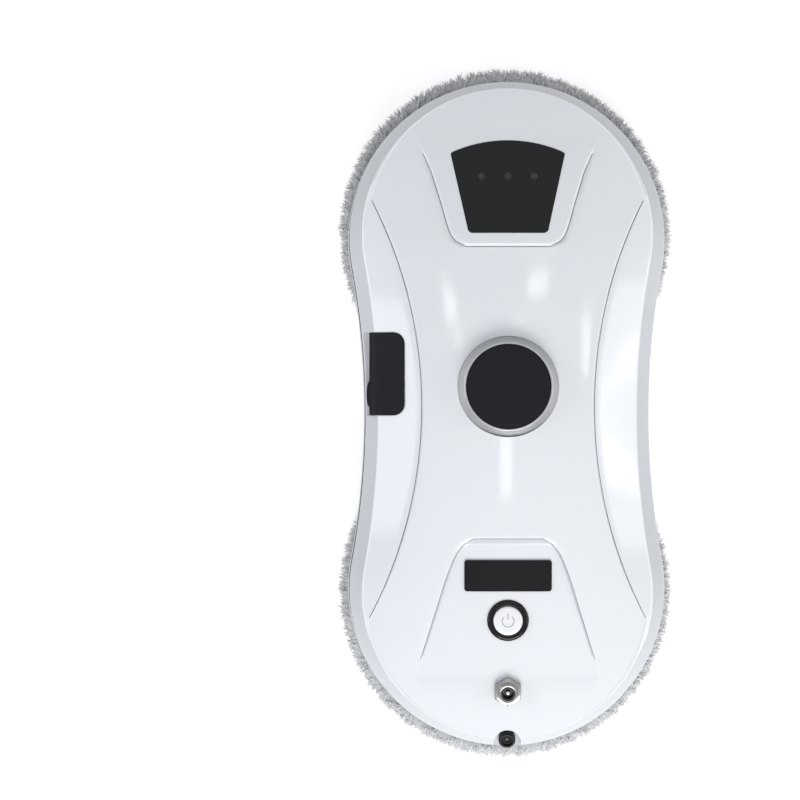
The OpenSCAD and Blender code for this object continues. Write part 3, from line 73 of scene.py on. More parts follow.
# Deck: creases and panels
CREASE_HALF = 35.5
CREASE_R = 192
CREASE_Y = 3
CREASE_STEP = 1.8
CREASE_W = 1
CREASE_LIMIT_SHARE = 0.96
BORDER_LIMIT_SHARE = 0.86
CREASE_LIFT_SHARE = 2.1
PANEL_EDGE_W = 1.2
GROOVE_W = 0.42
GROOVE_H = 0.45
GROOVE_FULL_STEP = 0.25
LINE_H = 0.3
# Half-width of the painted shade line in the deck's fine grooves
SHADE_LINE_HALF = 0.17
LINE_REACH = 2
LINE_END_GAP = 1
LINE_FADE_LEN = 20
LEAN_STEP = 0.3
FAR = 9
LIFT_Y = 70.8
LIFT_END_Y = 118.7
LIFT_HALF = 39.7
LIFT_H = 1.6
SUNK_Y = 52.7
SUNK_END_Y = 112
SUNK_HALF = 39.5
SUNK_H = 2.2
LIFT_SHARES = ((0, 0.42), (0.012, 0.485), (0.035, 0.54), (0.07, 0.585), (0.12, 0.62), (0.2, 0.655),
               (0.37, 0.71), (0.68, 0.825), (1, 1))
SUNK_SHARES = ((1, 1), (0.51, 0.767), (0.3, 0.67), (0.15, 0.585), (0.1, 0.545), (0.05, 0.49),
               (0.02, 0.43), (0, 0.35))

# Fittings on the deck
FIT = 0.15
GAP = 0.3
CAP_Y = 11.6
CAP_R = 17.8
RING_R = 21.2
RING_RISE = 4
RING_SINK = 1
CAP_SINK = 0.5
RING_WALL = 1.8
WINDOW_Y = 76.6
WINDOW_LEN = 34.1
WINDOW_ARCH = 5.2
WINDOW_LOW_HALF = 16.6
WINDOW_HIGH_HALF = 24.2
WINDOW_CORNER = 2.1
WINDOW_SHOULDER = 1.6
WINDOW_ARCH_FROM = 3
ARCH_END_SHARE = 0.999
LIGHT_Y = 100.7
LIGHT_STEP = 11.2
LIGHT_R = 1.65
LIGHT_CORE_SHARE = 0.75
LIGHT_REACH_SHARE = 1.5
LIGHT_SHIFT_STEPS = 20
LABEL_Y = -68.4
LABEL_W = 37
LABEL_LEN = 13.3
LABEL_T = 0.5
LABEL_CORNER = 1.2
BUTTON_Y = -87.4
BUTTON_RING_R = 8.7
BUTTON_R = 6.2
BUTTON_RISE = 0.9
BUTTON_FLANGE = 1
BUTTON_T = 3
BUTTON_HEAD_ROOM = 6
SOCKET_Y = -117.5
SOCKET_R = 4
NUT_FLATS = 11
NUT_T = 2.4
NUT_ROOM_SHARE = 1.25
NUT_HEAD_ROOM = 5
SOCKET_RISE = 3
INSERT_R = 2.9
INSERT_LEN = 8
INSERT_RECESS = 0.5
PIN_R = 1.05
PIN_RECESS = 1
NOTCH_W = 11.7
NOTCH_LEN = 8
NOTCH_FLOOR = 39
NOZZLE_R = 3.6
MOUTH_R = 1.8
NOZZLE_TILT = math.radians(28)
NOZZLE_LEN = 12
NOZZLE_RISE = 3
MOUTH_RECESS = 1
ATOMISER_T = 0.8

# Filler cover on the left side
FILLER_LEN = 35
FILLER_Y = 17
FILLER_IN = 44
FILLER_CORNER = 4.8
FILLER_T = 2.6
FILLER_OUT = WAIST_HALF - 2.4
FILLER_BEND = WAIST_HALF - BAND_W + 0.6
FILLER_RISE = 0.7
TAB_LEN = 10.8
TAB_OUT = 1.2
PORT_X = 49.3
PORT_R = 4.8
PLUG_R = PORT_R - 2
PLUG_H = 1.2
PLUG_EDGE = 0.4
PLUG_SINK = 3
FLAP_ROUND = 0.55
POCKET_WALL = 1.8
BEND_REACH = 4
POCKET_OVER = 12
POCKET_REACH = 26

# Exhaust slots in both side walls
SLOT_COUNT = 6
SLOT_Y = -50
SLOT_STEP = 4.4
SLOT_HALF = 1.1
SLOT_LEFT = 5.8
SLOT_RIGHT = 3.8
SLOT_LOW = 3.5
SLOT_HIGH = 10.5

# Wheels and pads
WHEEL_Y = 77.5
PAD_R = 72.5
PAD_BORE_R = 33
PAD_T = 7.5
COLLAR_R = 25
THRUST_RING_W = 5


def clamp(value, low=0.0, high=1.0):
    return max(low, min(high, value))


def cos_deg(angle):
    return math.cos(math.radians(angle))


def sin_deg(angle):
    return math.sin(math.radians(angle))


def smooth(s):
    s = clamp(s)
    return s * s * (3 - 2 * s)


def lookup(value, places):
    if value <= places[0][0]:
        return places[0][1]
    for (a, b), (c, d) in zip(places, places[1:]):
        if value <= c:
            return b + (d - b) * (value - a) / (c - a)
    return places[-1][1]


# Outline: two lobes joined by hollow arcs, as (lobe radius, lobe centre, waist half-width)
def outline(d):
    return (LOBE_R - d, LOBE_Y, WAIST_HALF - d)


def arc_r(o):
    return (o[2] ** 2 + o[1] ** 2 - o[0] ** 2) / (2 * (o[0] - o[2]))


def join_a(o):
    return math.atan2(o[1], o[2] + arc_r(o))


def spot(o, t):
    if abs(t) <= 1:
        a = t * join_a(o)
        return (o[2] + arc_r(o) * (1 - math.cos(a)), arc_r(o) * math.sin(a))
    a = (abs(t) - 1) * (math.pi / 2 + join_a(o)) - join_a(o)
    return (o[0] * math.cos(a), math.copysign(o[1] + o[0] * math.sin(a), t))


def t_at(o, y):
    if abs(y) <= arc_r(o) * math.sin(join_a(o)):
        return math.asin(y / arc_r(o)) / join_a(o)
    a = math.asin(clamp((abs(y) - o[1]) / o[0], -1, 1))
    return math.copysign(1 + (a + join_a(o)) / (math.pi / 2 + join_a(o)), y)


INNER = (LOBE_R - BAND_W, LOBE_Y + BAND_W - BAND_END_W, WAIST_HALF - BAND_W)
INNER_END = INNER[0] + INNER[1]
CREASE_X = CREASE_HALF + CREASE_R
BORDER_PLACES = (
    [(-SUNK_Y - s[0] * (SUNK_END_Y - SUNK_Y), s[1] * SUNK_HALF) for s in SUNK_SHARES]
    + [(LIFT_Y + s[0] * (LIFT_END_Y - LIFT_Y), s[1] * LIFT_HALF) for s in LIFT_SHARES])
BORDER_SPREAD = (-1.2, -0.6, 0, 0.6, 1.2)


def half_in(y):
    return spot(INNER, t_at(INNER, y))[0]


def crease(y):
    free = CREASE_X - math.sqrt(CREASE_R ** 2 - (y - CREASE_Y) ** 2)
    return min(free, CREASE_LIMIT_SHARE * half_in(y))


def border(y):
    mean = sum(lookup(y + dy, BORDER_PLACES) for dy in BORDER_SPREAD) / len(BORDER_SPREAD)
    return min(mean, BORDER_LIMIT_SHARE * crease(y))


def axis_z(y):
    return DECK_Z + CROWN_H * (1 - (y / INNER_END) ** 2)


def openness(y):
    return 1 - crease(y) / max(half_in(y), LEAST)


def edge_z(y):
    return DECK_Z + (axis_z(y) - DECK_Z) * CREASE_LIFT_SHARE * openness(y)


STEP_FREE = 1 - CREASE_LIMIT_SHARE
STEP_FULL = openness(CREASE_Y) - STEP_FREE


def step_h(y):
    return CREASE_STEP * max(0, openness(y) - STEP_FREE) / STEP_FULL


def crease_out(y):
    return crease(y) + min(CREASE_W, (half_in(y) - crease(y)) / 2)


def sunk_depth(y):
    return SUNK_H * clamp((SUNK_END_Y + y) / (SUNK_END_Y - SUNK_Y - 2 * PANEL_EDGE_W), LEAST)


def relief(x, y):
    side = smooth((border(y) - x) / PANEL_EDGE_W)
    if y > 0:
        fade = clamp((LIFT_END_Y - y) / (LIFT_END_Y - LIFT_Y - PANEL_EDGE_W))
        return LIFT_H * fade * side * smooth((y - LIFT_Y) / PANEL_EDGE_W)
    if y < -SUNK_END_Y:
        return 0
    return -sunk_depth(y) * side * smooth((-SUNK_Y - y) / (2 * PANEL_EDGE_W))


def groove(gap, deep):
    """A fine round-bottomed line in the deck, at a gap from its middle."""
    return -deep * math.exp(-(gap / (GROOVE_W / 2)) ** 2)


def border_gap(x, y):
    """How far a place on the deck lies from the border of the panel at its end, and its fade."""
    if y > 0:
        over_edge = y - LIFT_Y
        fade = smooth((LIFT_END_Y - LINE_END_GAP - y) / LINE_FADE_LEN)
    else:
        over_edge = -SUNK_Y - y
        fade = smooth((SUNK_END_Y - LINE_END_GAP + y) / LINE_FADE_LEN)
    if over_edge < -LINE_REACH or fade == 0:
        return FAR, 0
    lean = (border(y + LEAN_STEP) - border(y - LEAN_STEP)) / (2 * LEAN_STEP)
    side = (border(y) - x) / math.sqrt(1 + lean * lean)
    if side > 0 and over_edge > 0:
        return min(side, over_edge), fade
    return math.hypot(min(0, side), min(0, over_edge)), fade


def border_line(x, y):
    """The fine line round the foot of the raised panel and the edge of the sunk one."""
    gap, fade = border_gap(x, y)
    return groove(gap, LINE_H * fade)


def deck_z(x, y):
    x = abs(x)
    c = crease(y)
    plain = axis_z(y) - (axis_z(y) - edge_z(y)) * (x / max(c, LEAST)) ** 2
    if x <= c - GROOVE_W:
        return plain + relief(x, y) + border_line(x, y)
    line = groove(x - crease_out(y), GROOVE_H * clamp(step_h(y) / GROOVE_FULL_STEP))
    if x <= c:
        return plain + line
    half = half_in(y)
    out = crease_out(y)
    panel = DECK_Z + (edge_z(y) - step_h(y) - DECK_Z) * (half - x) / max(half - out, LEAST)
    s = smooth((x - c) / max(out - c, LEAST))
    return plain * (1 - s) + panel * s + line


def deck_normal(x, y):
    probe = 0.08
    dx = (deck_z(x + probe, y) - deck_z(x - probe, y)) / (2 * probe)
    dy = (deck_z(x, y + probe) - deck_z(x, y - probe)) / (2 * probe)
    return Vector((-dx, -dy, 1)).normalized()


def deck_turn(y):
    """The frame of a round fitting: up is the deck's normal at (0, y)."""
    probe = 1
    lean = math.atan((deck_z(0, y + probe) - deck_z(0, y - probe)) / (2 * probe))
    return Matrix.Translation((0, y, deck_z(0, y))) @ Matrix.Rotation(lean, 4, "X")


# Meshes
def mesh_piece(name, verts, faces, turn=None):
    if turn is not None:
        verts = [turn @ Vector(v) for v in verts]
    mesh = bpy.data.meshes.new(name)
    mesh.from_pydata([(v[0] * MM, v[1] * MM, v[2] * MM) for v in verts], [], faces)
    mesh.validate()
    bm = bmesh.new()
    bm.from_mesh(mesh)
    bmesh.ops.recalc_face_normals(bm, faces=bm.faces)
    bm.to_mesh(mesh)
    bm.free()
    piece = bpy.data.objects.new(name, mesh)
    bpy.context.scene.collection.objects.link(piece)
    return piece


def apply_all(piece):
    depsgraph = bpy.context.evaluated_depsgraph_get()
    mesh = bpy.data.meshes.new_from_object(piece.evaluated_get(depsgraph))
    piece.modifiers.clear()
    old = piece.data
    piece.data = mesh
    bpy.data.meshes.remove(old)


def bevel(piece, width, segments=3, angle=SHARP):
    mod = piece.modifiers.new("bevel", "BEVEL")
    mod.width = width * MM
    mod.segments = segments
    mod.limit_method = "ANGLE"
    mod.angle_limit = angle
    mod.harden_normals = False
    apply_all(piece)


def shade(piece, angle=SHARP):
    piece.data.shade_smooth()
    piece.data.set_sharp_from_angle(angle=angle)


def combine(piece, other, operation):
    mod = piece.modifiers.new("combine", "BOOLEAN")
    mod.operation = operation
    mod.solver = "EXACT"
    mod.object = other
    apply_all(piece)
    bpy.data.objects.remove(other)


def cut(piece, other):
    combine(piece, other, "DIFFERENCE")


def join(piece, other):
    combine(piece, other, "UNION")


def prism(name, loop, low, high, turn=None):
    """A solid over a closed outline of (x, y)."""
    n = len(loop)
    verts = [(x, y, low) for x, y in loop] + [(x, y, high) for x, y in loop]
    faces = [list(range(n))[::-1], list(range(n, 2 * n))]
    faces += [[i, (i + 1) % n, (i + 1) % n + n, i + n] for i in range(n)]
    return mesh_piece(name, verts, faces, turn)


def prism_y(name, profile, low, high):
    """A solid along Y over a closed outline of (x, z)."""
    n = len(profile)
    verts = [(x, low, z) for x, z in profile] + [(x, high, z) for x, z in profile]
    faces = [list(range(n)), list(range(n, 2 * n))[::-1]]
    faces += [[i, (i + 1) % n, (i + 1) % n + n, i + n] for i in range(n)]
    return mesh_piece(name, verts, faces)


def lathe(name, profile, turn, sides=96):
    """A turned solid: profile is an open line of (radius, height) from axis to axis, or closed."""
    verts = []
    rings = []
    for r, z in profile:
        if r < 1e-6:
            rings.append([len(verts)] * sides)
            verts.append((0, 0, z))
        else:
            rings.append(list(range(len(verts), len(verts) + sides)))
            verts += [(r * math.cos(math.tau * k / sides), r * math.sin(math.tau * k / sides), z)
                      for k in range(sides)]
    faces = []
    closed = profile[0][0] > 1e-6
    count = len(rings) if closed else len(rings) - 1
    for i in range(count):
        a, b = rings[i], rings[(i + 1) % len(rings)]
        for k in range(sides):
            quad = [a[k], a[(k + 1) % sides], b[(k + 1) % sides], b[k]]
            face = [v for j, v in enumerate(quad) if v not in quad[:j]]
            if len(face) > 2:
                faces.append(face)
    return mesh_piece(name, verts, faces, turn)


def disc(r, x=0, y=0, sides=96):
    return [(x + r * math.cos(math.tau * k / sides), y + r * math.sin(math.tau * k / sides))
            for k in range(sides)]


def body_loop(d, steps=34):
    """The whole outline set in by d, as a closed loop."""
    right = [spot(outline(d), -2 + 4 * k / (4 * steps)) for k in range(4 * steps)]
    return right + [(-x, -y) for x, y in right]


def dress(piece, body, slot, *nodes, look=None, angle=SHARP):
    """Puts a piece on a body in a slot, in place of nodes, and shades it unless angle is None.

    Its look is the slot's own unless another one is named.
    """
    if angle is not None:
        shade(piece, angle)
    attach(piece, body)
    if nodes:
        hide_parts(*nodes)
    piece.data.materials.clear()
    piece.data.materials.append(finishes[look or slot])


# Materials
COAT_ROUGH = 0.05
SHEEN_ROUGH = 0.5
LEAST_ROUGH = 0.02
DRIFT_DETAIL = 4
GRAIN_DETAIL = 3
LIGHT_TONE = (0.036, 0.040, 0.045, 1)
finishes = {}


def add_node(tree, kind, inputs, **settings):
    """A shader node with its settings, and its inputs set to values or joined to outputs."""
    node = tree.nodes.new("ShaderNode" + kind)
    for key, value in settings.items():
        setattr(node, key, value)
    feed(tree, node, inputs)
    return node.outputs


def feed(tree, node, inputs):
    for key, value in inputs.items():
        if isinstance(value, bpy.types.NodeSocket):
            tree.links.new(value, node.inputs[key])
        else:
            node.inputs[key].default_value = value


def calculate(tree, operation, a, b=0.0):
    return add_node(tree, "Math", {0: a, 1: b}, operation=operation)[0]


def finish(name, color, rough, metal=0.0, grain=0.0, grain_size=0.3, spread=0.03, rough_spread=0.05,
           stretch=(1, 1, 1), coat=0.0, sheen=0.0, specular=0.5, patch=12.0):
    """A procedural finish: tone and gloss drift in patches, and a fine grain lifts the surface."""
    mat = bpy.data.materials.new(name)
    mat.use_nodes = True
    tree = mat.node_tree
    place = add_node(tree, "TexCoord", {})["Object"]
    place = add_node(tree, "Mapping", {"Vector": place, "Scale": stretch})["Vector"]
    drift = add_node(tree, "TexNoise", {"Vector": place, "Scale": 1 / (patch * MM),
                                        "Detail": DRIFT_DETAIL})["Fac"]
    tone = add_node(tree, "Mix", {"Factor": drift,
                                  "A": [c * (1 - spread) for c in color] + [1],
                                  "B": [min(1, c * (1 + spread)) for c in color] + [1]},
                    data_type="RGBA")["Result"]
    gloss = add_node(tree, "MapRange", {"Value": drift,
                                        "To Min": max(LEAST_ROUGH, rough - rough_spread),
                                        "To Max": min(1, rough + rough_spread)})["Result"]
    shader = tree.nodes["Principled BSDF"]
    feed(tree, shader, {"Metallic": metal, "Specular IOR Level": specular, "Coat Weight": coat,
                        "Coat Roughness": COAT_ROUGH, "Sheen Weight": sheen,
                        "Sheen Roughness": SHEEN_ROUGH, "Base Color": tone, "Roughness": gloss})
    if grain:
        fine = add_node(tree, "TexNoise", {"Vector": place, "Scale": 1 / (grain_size * MM),
                                           "Detail": GRAIN_DETAIL})["Fac"]
        bump = add_node(tree, "Bump", {"Strength": grain, "Distance": grain_size * MM,
                                       "Height": fine})
        feed(tree, shader, {"Normal": bump["Normal"]})
    finishes[name] = mat
    return mat


def lights_print(mat):
    """Three faint round lights printed behind the smoked window."""
    tree = mat.node_tree
    shader = tree.nodes["Principled BSDF"]
    base = shader.inputs["Base Color"].links[0].from_socket
    place = add_node(tree, "TexCoord", {})["Object"]
    split = add_node(tree, "SeparateXYZ", {"Vector": place})
    # Whole steps are added so that the repeat starts left of the window
    moved = calculate(tree, "ADD", split["X"], LIGHT_SHIFT_STEPS * LIGHT_STEP * MM)
    repeat = calculate(tree, "PINGPONG", moved, LIGHT_STEP / 2 * MM)
    across = calculate(tree, "POWER", repeat, 2.0)
    ahead = calculate(tree, "SUBTRACT", split["Y"], LIGHT_Y * MM)
    ahead = calculate(tree, "POWER", ahead, 2.0)
    radius = calculate(tree, "SQRT", calculate(tree, "ADD", across, ahead))
    near = calculate(tree, "LESS_THAN", calculate(tree, "ABSOLUTE", split["X"]),
                     LIGHT_REACH_SHARE * LIGHT_STEP * MM)
    ramp = add_node(tree, "MapRange", {"Value": radius, "From Min": LIGHT_R * MM,
                                       "From Max": LIGHT_CORE_SHARE * LIGHT_R * MM})["Result"]
    mask = calculate(tree, "MULTIPLY", ramp, near)
    tone = add_node(tree, "Mix", {"Factor": mask, "A": base, "B": LIGHT_TONE}, data_type="RGBA")
    feed(tree, shader, {"Base Color": tone["Result"]})


WHITE = (0.815, 0.83, 0.86)
finish("shell_white", WHITE, 0.1, grain=0.015, grain_size=1.2, spread=0.008, rough_spread=0.03,
       coat=0.25, patch=40)
finish("band_grey", (0.60, 0.62, 0.65), 0.2, grain=0.015, grain_size=1.0, spread=0.01,
       rough_spread=0.03, coat=0.2, patch=30)
# Painted shade: dark grey painted into the deck's fine grooves, where a narrow gap would fall in shadow
finish("groove_shade_grey", (0.30, 0.31, 0.33), 0.5, grain=0.05, spread=0.1)
# Painted shade: the sunk panel's border wall, painted darker grey than the deck as if it faced away from
# the light
finish("wall_shade_grey", (0.60, 0.61, 0.65), 0.2, grain=0.02, spread=0.02)
# Painted shade: near black on the floor of the narrow parting groove, standing in for its shadow
finish("parting_groove_shade", (0.03, 0.03, 0.034), 0.7, grain=0.1, spread=0.1)
finish("shell_grey", (0.66, 0.68, 0.71), 0.26, grain=0.015, grain_size=0.8, spread=0.008,
       rough_spread=0.015, patch=30)
finish("window_smoked", (0.004, 0.006, 0.006), 0.1, grain=0.01, grain_size=1.5, specular=0.3,
       spread=0.1, rough_spread=0.03, patch=20)
finish("led_lens", (0.5, 0.52, 0.54), 0.3, grain=0.05)
finish("circuit_board", (0.03, 0.16, 0.06), 0.4, grain=0.15, grain_size=0.8, spread=0.25, patch=3)
finish("screw_steel", (0.5, 0.51, 0.52), 0.3, metal=1, grain=0.1, grain_size=0.2)
finish("ring_silver", (0.44, 0.445, 0.45), 0.36, metal=0.9, grain=0.08, grain_size=0.15, spread=0.03,
       patch=6)
finish("cap_black", (0.004, 0.005, 0.007), 0.5, grain=0.12, grain_size=0.25, spread=0.12, patch=8,
       specular=0.2)
finish("label_black", (0.004, 0.005, 0.005), 0.42, grain=0.08, grain_size=0.3, spread=0.15, patch=6,
       specular=0.2)
finish("ring_black", (0.004, 0.004, 0.005), 0.14, grain=0.02, grain_size=0.6, spread=0.1, specular=0.3)
finish("button_white", (0.85, 0.855, 0.86), 0.14, grain=0.02, grain_size=0.8, spread=0.01, coat=0.3)
finish("button_mark", (0.40, 0.41, 0.42), 0.3, grain=0.03, spread=0.03)
finish("spring_steel", (0.5, 0.5, 0.52), 0.25, metal=1, grain=0.05)
finish("switch_body", (0.02, 0.02, 0.022), 0.5, grain=0.1)
finish("socket_metal", (0.30, 0.30, 0.29), 0.24, metal=1, grain=0.06, grain_size=0.2, spread=0.08,
       patch=2)
finish("nut_metal", (0.34, 0.34, 0.33), 0.26, metal=1, grain=0.1, grain_size=0.2, spread=0.08, patch=2)
finish("socket_insert", (0.008, 0.008, 0.009), 0.4, grain=0.1, grain_size=0.2)
finish("contact_metal", (0.60, 0.59, 0.55), 0.18, metal=1, grain=0.05)
finish("nozzle_black", (0.005, 0.005, 0.006), 0.32, grain=0.1, grain_size=0.25, specular=0.3)
finish("atomiser_metal", (0.012, 0.012, 0.013), 0.45, metal=1, grain=0.3, grain_size=0.15)
finish("rubber_black", (0.004, 0.005, 0.008), 0.42, grain=0.12, grain_size=0.2, spread=0.12, patch=6,
       specular=0.12)
finish("seal_rubber", (0.02, 0.02, 0.022), 0.6, grain=0.15)
finish("tank_clear", (0.62, 0.67, 0.70), 0.3, grain=0.06, grain_size=1)
finish("pump_body", (0.03, 0.033, 0.036), 0.45, grain=0.12)
finish("hose_clear", (0.6, 0.62, 0.63), 0.35, grain=0.05)
finish("duct_plastic", (0.035, 0.038, 0.042), 0.48, grain=0.15, grain_size=0.4, spread=0.08)
finish("grille_plastic", (0.016, 0.017, 0.019), 0.45, grain=0.12)
finish("gasket_rubber", (0.02, 0.02, 0.022), 0.8, grain=0.3)
finish("nylon_white", (0.72, 0.72, 0.68), 0.4, grain=0.06, grain_size=0.5)
finish("shaft_steel", (0.58, 0.59, 0.6), 0.2, metal=1, grain=0.05)
finish("motor_steel", (0.5, 0.51, 0.53), 0.32, metal=1, grain=0.1, stretch=(1, 1, 8))
finish("wheel_plastic", (0.018, 0.019, 0.022), 0.45, grain=0.14, grain_size=0.5, spread=0.08)
finish("hook_tape", (0.03, 0.03, 0.034), 0.9, grain=0.8, grain_size=0.5, sheen=0.2)
finish("pad_fabric", (0.90, 0.905, 0.91), 0.9, grain=0.5, grain_size=0.25, spread=0.22, patch=2.2,
       sheen=0.35)
finish("pad_back", (0.62, 0.63, 0.64), 0.95, grain=0.6, grain_size=0.5, spread=0.3, patch=1.5,
       sheen=0.2)
finish("bush_bronze", (0.45, 0.27, 0.13), 0.35, metal=1, grain=0.12)
finish("clip_steel", (0.35, 0.36, 0.38), 0.3, metal=1, grain=0.08)
finish("pinion_brass", (0.62, 0.48, 0.22), 0.25, metal=1, grain=0.06)
finish("cell_wrap", (0.02, 0.12, 0.32), 0.25, grain=0.04, spread=0.05)
lights_print(finishes["window_smoked"])


# Cover: rows of stations along Y, each from the axis over the creases and the band to the seam
EDGE_ROUND = 0.9
BAND_ROUND = 0.7
ROUND_LIMIT_SHARE = 0.45
EDGE_SHARES = (0.25, 0.5, 0.75)
SLOPE_SHARES = (1 / 3, 2 / 3)
FOOT_SHARES = (0, 0.33, 0.66, 1)
SKIRT_SHARES = (0.5, 1)
FINE_ROWS_LEN = 12
END_ROW_GAP = 0.8
# Steps between rows from the rear mark to the front one, and cells from the axis to the edge
ROW_STEPS = (1.6, 0.8, 0.3, 0.12, 1.7, 0.12, 0.2, 0.7, 1.6)
ROW_CELLS = (7, 5, 4, 9, 4, 8, 6)
# Degrees round a lobe at which rows lie, closer towards its end
LOBE_ANGLES = [89.2, 88, 86, 83.5] + [81 - 2.6 * k for k in range(15)]


def even(start, stop, count):
    """Places from start on, up to stop but without it."""
    return [start + (stop - start) * k / count for k in range(count)]


def row_places():
    """Places along Y, fine at the panels' borders, and by angle round both lobes."""
    reach = [INNER[1] + INNER[0] * sin_deg(a) for a in LOBE_ANGLES]
    rear = [-y for y in reach if y > SUNK_END_Y + END_ROW_GAP]
    front = [y for y in reach[::-1] if y > LIFT_END_Y + END_ROW_GAP]
    marks = [-SUNK_END_Y, -SUNK_Y - FINE_ROWS_LEN, -SUNK_Y - 2 * PANEL_EDGE_W, -SUNK_Y - GROOVE_W,
             -SUNK_Y + GROOVE_W, LIFT_Y - GROOVE_W, LIFT_Y + GROOVE_W, LIFT_Y + PANEL_EDGE_W,
             LIFT_Y + FINE_ROWS_LEN, LIFT_END_Y]
    middle = []
    for low, high, step in zip(marks, marks[1:], ROW_STEPS):
        middle += even(low, high, max(1, round((high - low) / step)))
    return rear + middle + [LIFT_END_Y] + front


def bend(a, b, c, s):
    """A point on the round that joins a to c and leans to the corner b."""
    return [(1 - s) ** 2 * p + 2 * s * (1 - s) * q + s * s * r for p, q, r in zip(a, b, c)]


def between(a, b, share):
    return [p + (q - p) * share for p, q in zip(a, b)]


def along(a, b, length):
    return between(a, b, min(ROUND_LIMIT_SHARE, length / max(math.dist(a, b), LEAST)))


def band_line(start, corner, low, seam):
    """The points from the deck's edge over the grey band and down the skirt."""
    stop = along(corner, low, EDGE_ROUND)
    rise = along(low, corner, BAND_ROUND)
    fall = along(low, seam, BAND_ROUND)
    return ([bend(start, corner, stop, s) for s in EDGE_SHARES] + [stop]
            + [between(stop, rise, s) for s in SLOPE_SHARES]
            + [bend(rise, low, fall, s) for s in FOOT_SHARES]
            + [between(fall, seam, s) for s in SKIRT_SHARES])


def cover_row(y, d):
    """One row's points from the axis to the right seam, for the skin set in by d."""
    t = t_at(INNER, y)
    px, py = spot((INNER[0] - d, INNER[1], INNER[2] - d), t)
    half = half_in(y)
    b, c, o = border(y), crease(y), crease_out(y)
    last = half - min(EDGE_ROUND, (half - o) / 2)
    fine = min(GROOVE_W, (o - c) / 2, (last - o) / 2)
    marks = [0, max(b - PANEL_EDGE_W, b / 2), b, b + fine, c, o - fine, o + fine, last]
    xs = [x for low, high, n in zip(marks, marks[1:], ROW_CELLS) for x in even(low, high, n)]
    row = [[x * px / half, py, deck_z(x, y) - d] for x in xs + [last]]
    ox, oy = spot(outline(RIM_W + d), t)
    return row + band_line(row[-1], [px, py, DECK_Z - d], [ox, oy, BAND_Z - d / 2], [ox, oy, SEAM_Z])


def cover_tip(sign, d):
    """The far end's points, where every deck place meets on the axis."""
    deck = [0, sign * (INNER_END - d), DECK_Z - d]
    tip = sign * (END_Y - RIM_W - d)
    return deck, band_line(deck, deck, [0, tip, BAND_Z - d / 2], [0, tip, SEAM_Z])


def cover_mesh():
    ys = row_places()
    verts = []
    faces = []
    seams = []
    for d in (0, WALL_T):
        grid = []
        for y in ys:
            right = cover_row(y, d)
            full = [[-p[0], p[1], p[2]] for p in right[:0:-1]] + right
            grid.append(list(range(len(verts), len(verts) + len(full))))
            verts += full
        wide = len(grid[0])
        rim = len(cover_tip(1, d)[1])
        quads = [[r[j], s[j], s[j + 1], r[j + 1]]
                 for r, s in zip(grid, grid[1:]) for j in range(wide - 1)]
        ends = []
        for sign, row in ((-1, grid[0]), (1, grid[-1])):
            deck, line = cover_tip(sign, d)
            tip = len(verts)
            verts.append(deck)
            ends.append(list(range(len(verts), len(verts) + rim)))
            verts += line
            quads += [[row[j], row[j + 1], tip] for j in range(rim, wide - rim - 1)]
            left = [row[rim - 1 - k] for k in range(rim)]
            right = [row[wide - rim + k] for k in range(rim)]
            for edge, top in ((left, row[rim]), (right, row[wide - rim - 1])):
                column = ends[-1]
                quads.append([top, edge[0], column[0], tip])
                quads += [[edge[k], edge[k + 1], column[k + 1], column[k]] for k in range(rim - 1)]
        faces += quads
        seams.append([r[-1] for r in grid] + [ends[1][-1]] + [r[0] for r in grid[::-1]]
                     + [ends[0][-1]])
    outer, inside = seams
    n = len(outer)
    faces += [[outer[i], outer[(i + 1) % n], inside[(i + 1) % n], inside[i]] for i in range(n)]
    return mesh_piece("cover_shell", verts, faces)


def window_rows(g):
    """Rows of the window's outline grown by g, as (y, half-width)."""
    def half_at(y):
        return (WINDOW_LOW_HALF
                + (WINDOW_HIGH_HALF - WINDOW_LOW_HALF) * (y - WINDOW_Y) / WINDOW_LEN + g)
    c = WINDOW_CORNER + g
    low = WINDOW_Y - g
    high = WINDOW_Y + WINDOW_LEN
    rows = []
    for k in range(7):
        a = math.radians(15 * k)
        rows.append((low + c * (1 - math.cos(a)), half_at(low + c) - c * (1 - math.sin(a))))
    rows += [(y, half_at(y)) for y in even(low + c, high - WINDOW_ARCH_FROM, 16)[1:]]
    rows.append((high - WINDOW_ARCH_FROM, half_at(high - WINDOW_ARCH_FROM)))
    # The sides run into a flat arch with small round shoulders
    rise = WINDOW_ARCH + g
    arch_r = (half_at(high) ** 2 + rise ** 2) / (2 * rise)
    middle = high + rise - arch_r
    for k in range(1, 31):
        s = sin_deg(3 * k) * ARCH_END_SHARE
        y = high - WINDOW_ARCH_FROM + (WINDOW_ARCH_FROM + rise) * s
        arch = math.sqrt(arch_r ** 2 - (y - middle) ** 2) if y > middle else half_at(high)
        side = half_at(y)
        blend = clamp(0.5 + (arch - side) / (2 * WINDOW_SHOULDER))
        rows.append((y, arch + (side - arch) * blend - WINDOW_SHOULDER * blend * (1 - blend)))
    return rows


def plate_faces(n, cells):
    """Faces of a plate whose upper and lower skin each have n rows of cells."""
    w = cells + 1
    faces = []
    for k in range(n - 1):
        for j in range(cells):
            quad = [k * w + j, k * w + j + 1, (k + 1) * w + j + 1, (k + 1) * w + j]
            faces.append(quad)
            faces.append([v + n * w for v in quad[::-1]])
    rim = (list(range(cells)) + [k * w + cells for k in range(n - 1)]
           + [(n - 1) * w + j for j in range(cells, 0, -1)] + [k * w for k in range(n - 1, 0, -1)])
    return faces + [[a, b, b + n * w, a + n * w] for a, b in zip(rim, rim[1:] + rim[:1])]


def deck_plate(name, rows, high, low, cells=24):
    """A plate that follows the deck between two heights above it."""
    verts = []
    for h in (high, low):
        for y, half in rows:
            verts += [(half * (2 * j / cells - 1), y, deck_z(half * (2 * j / cells - 1), y) + h)
                      for j in range(cells + 1)]
    return mesh_piece(name, verts, plate_faces(len(rows), cells))


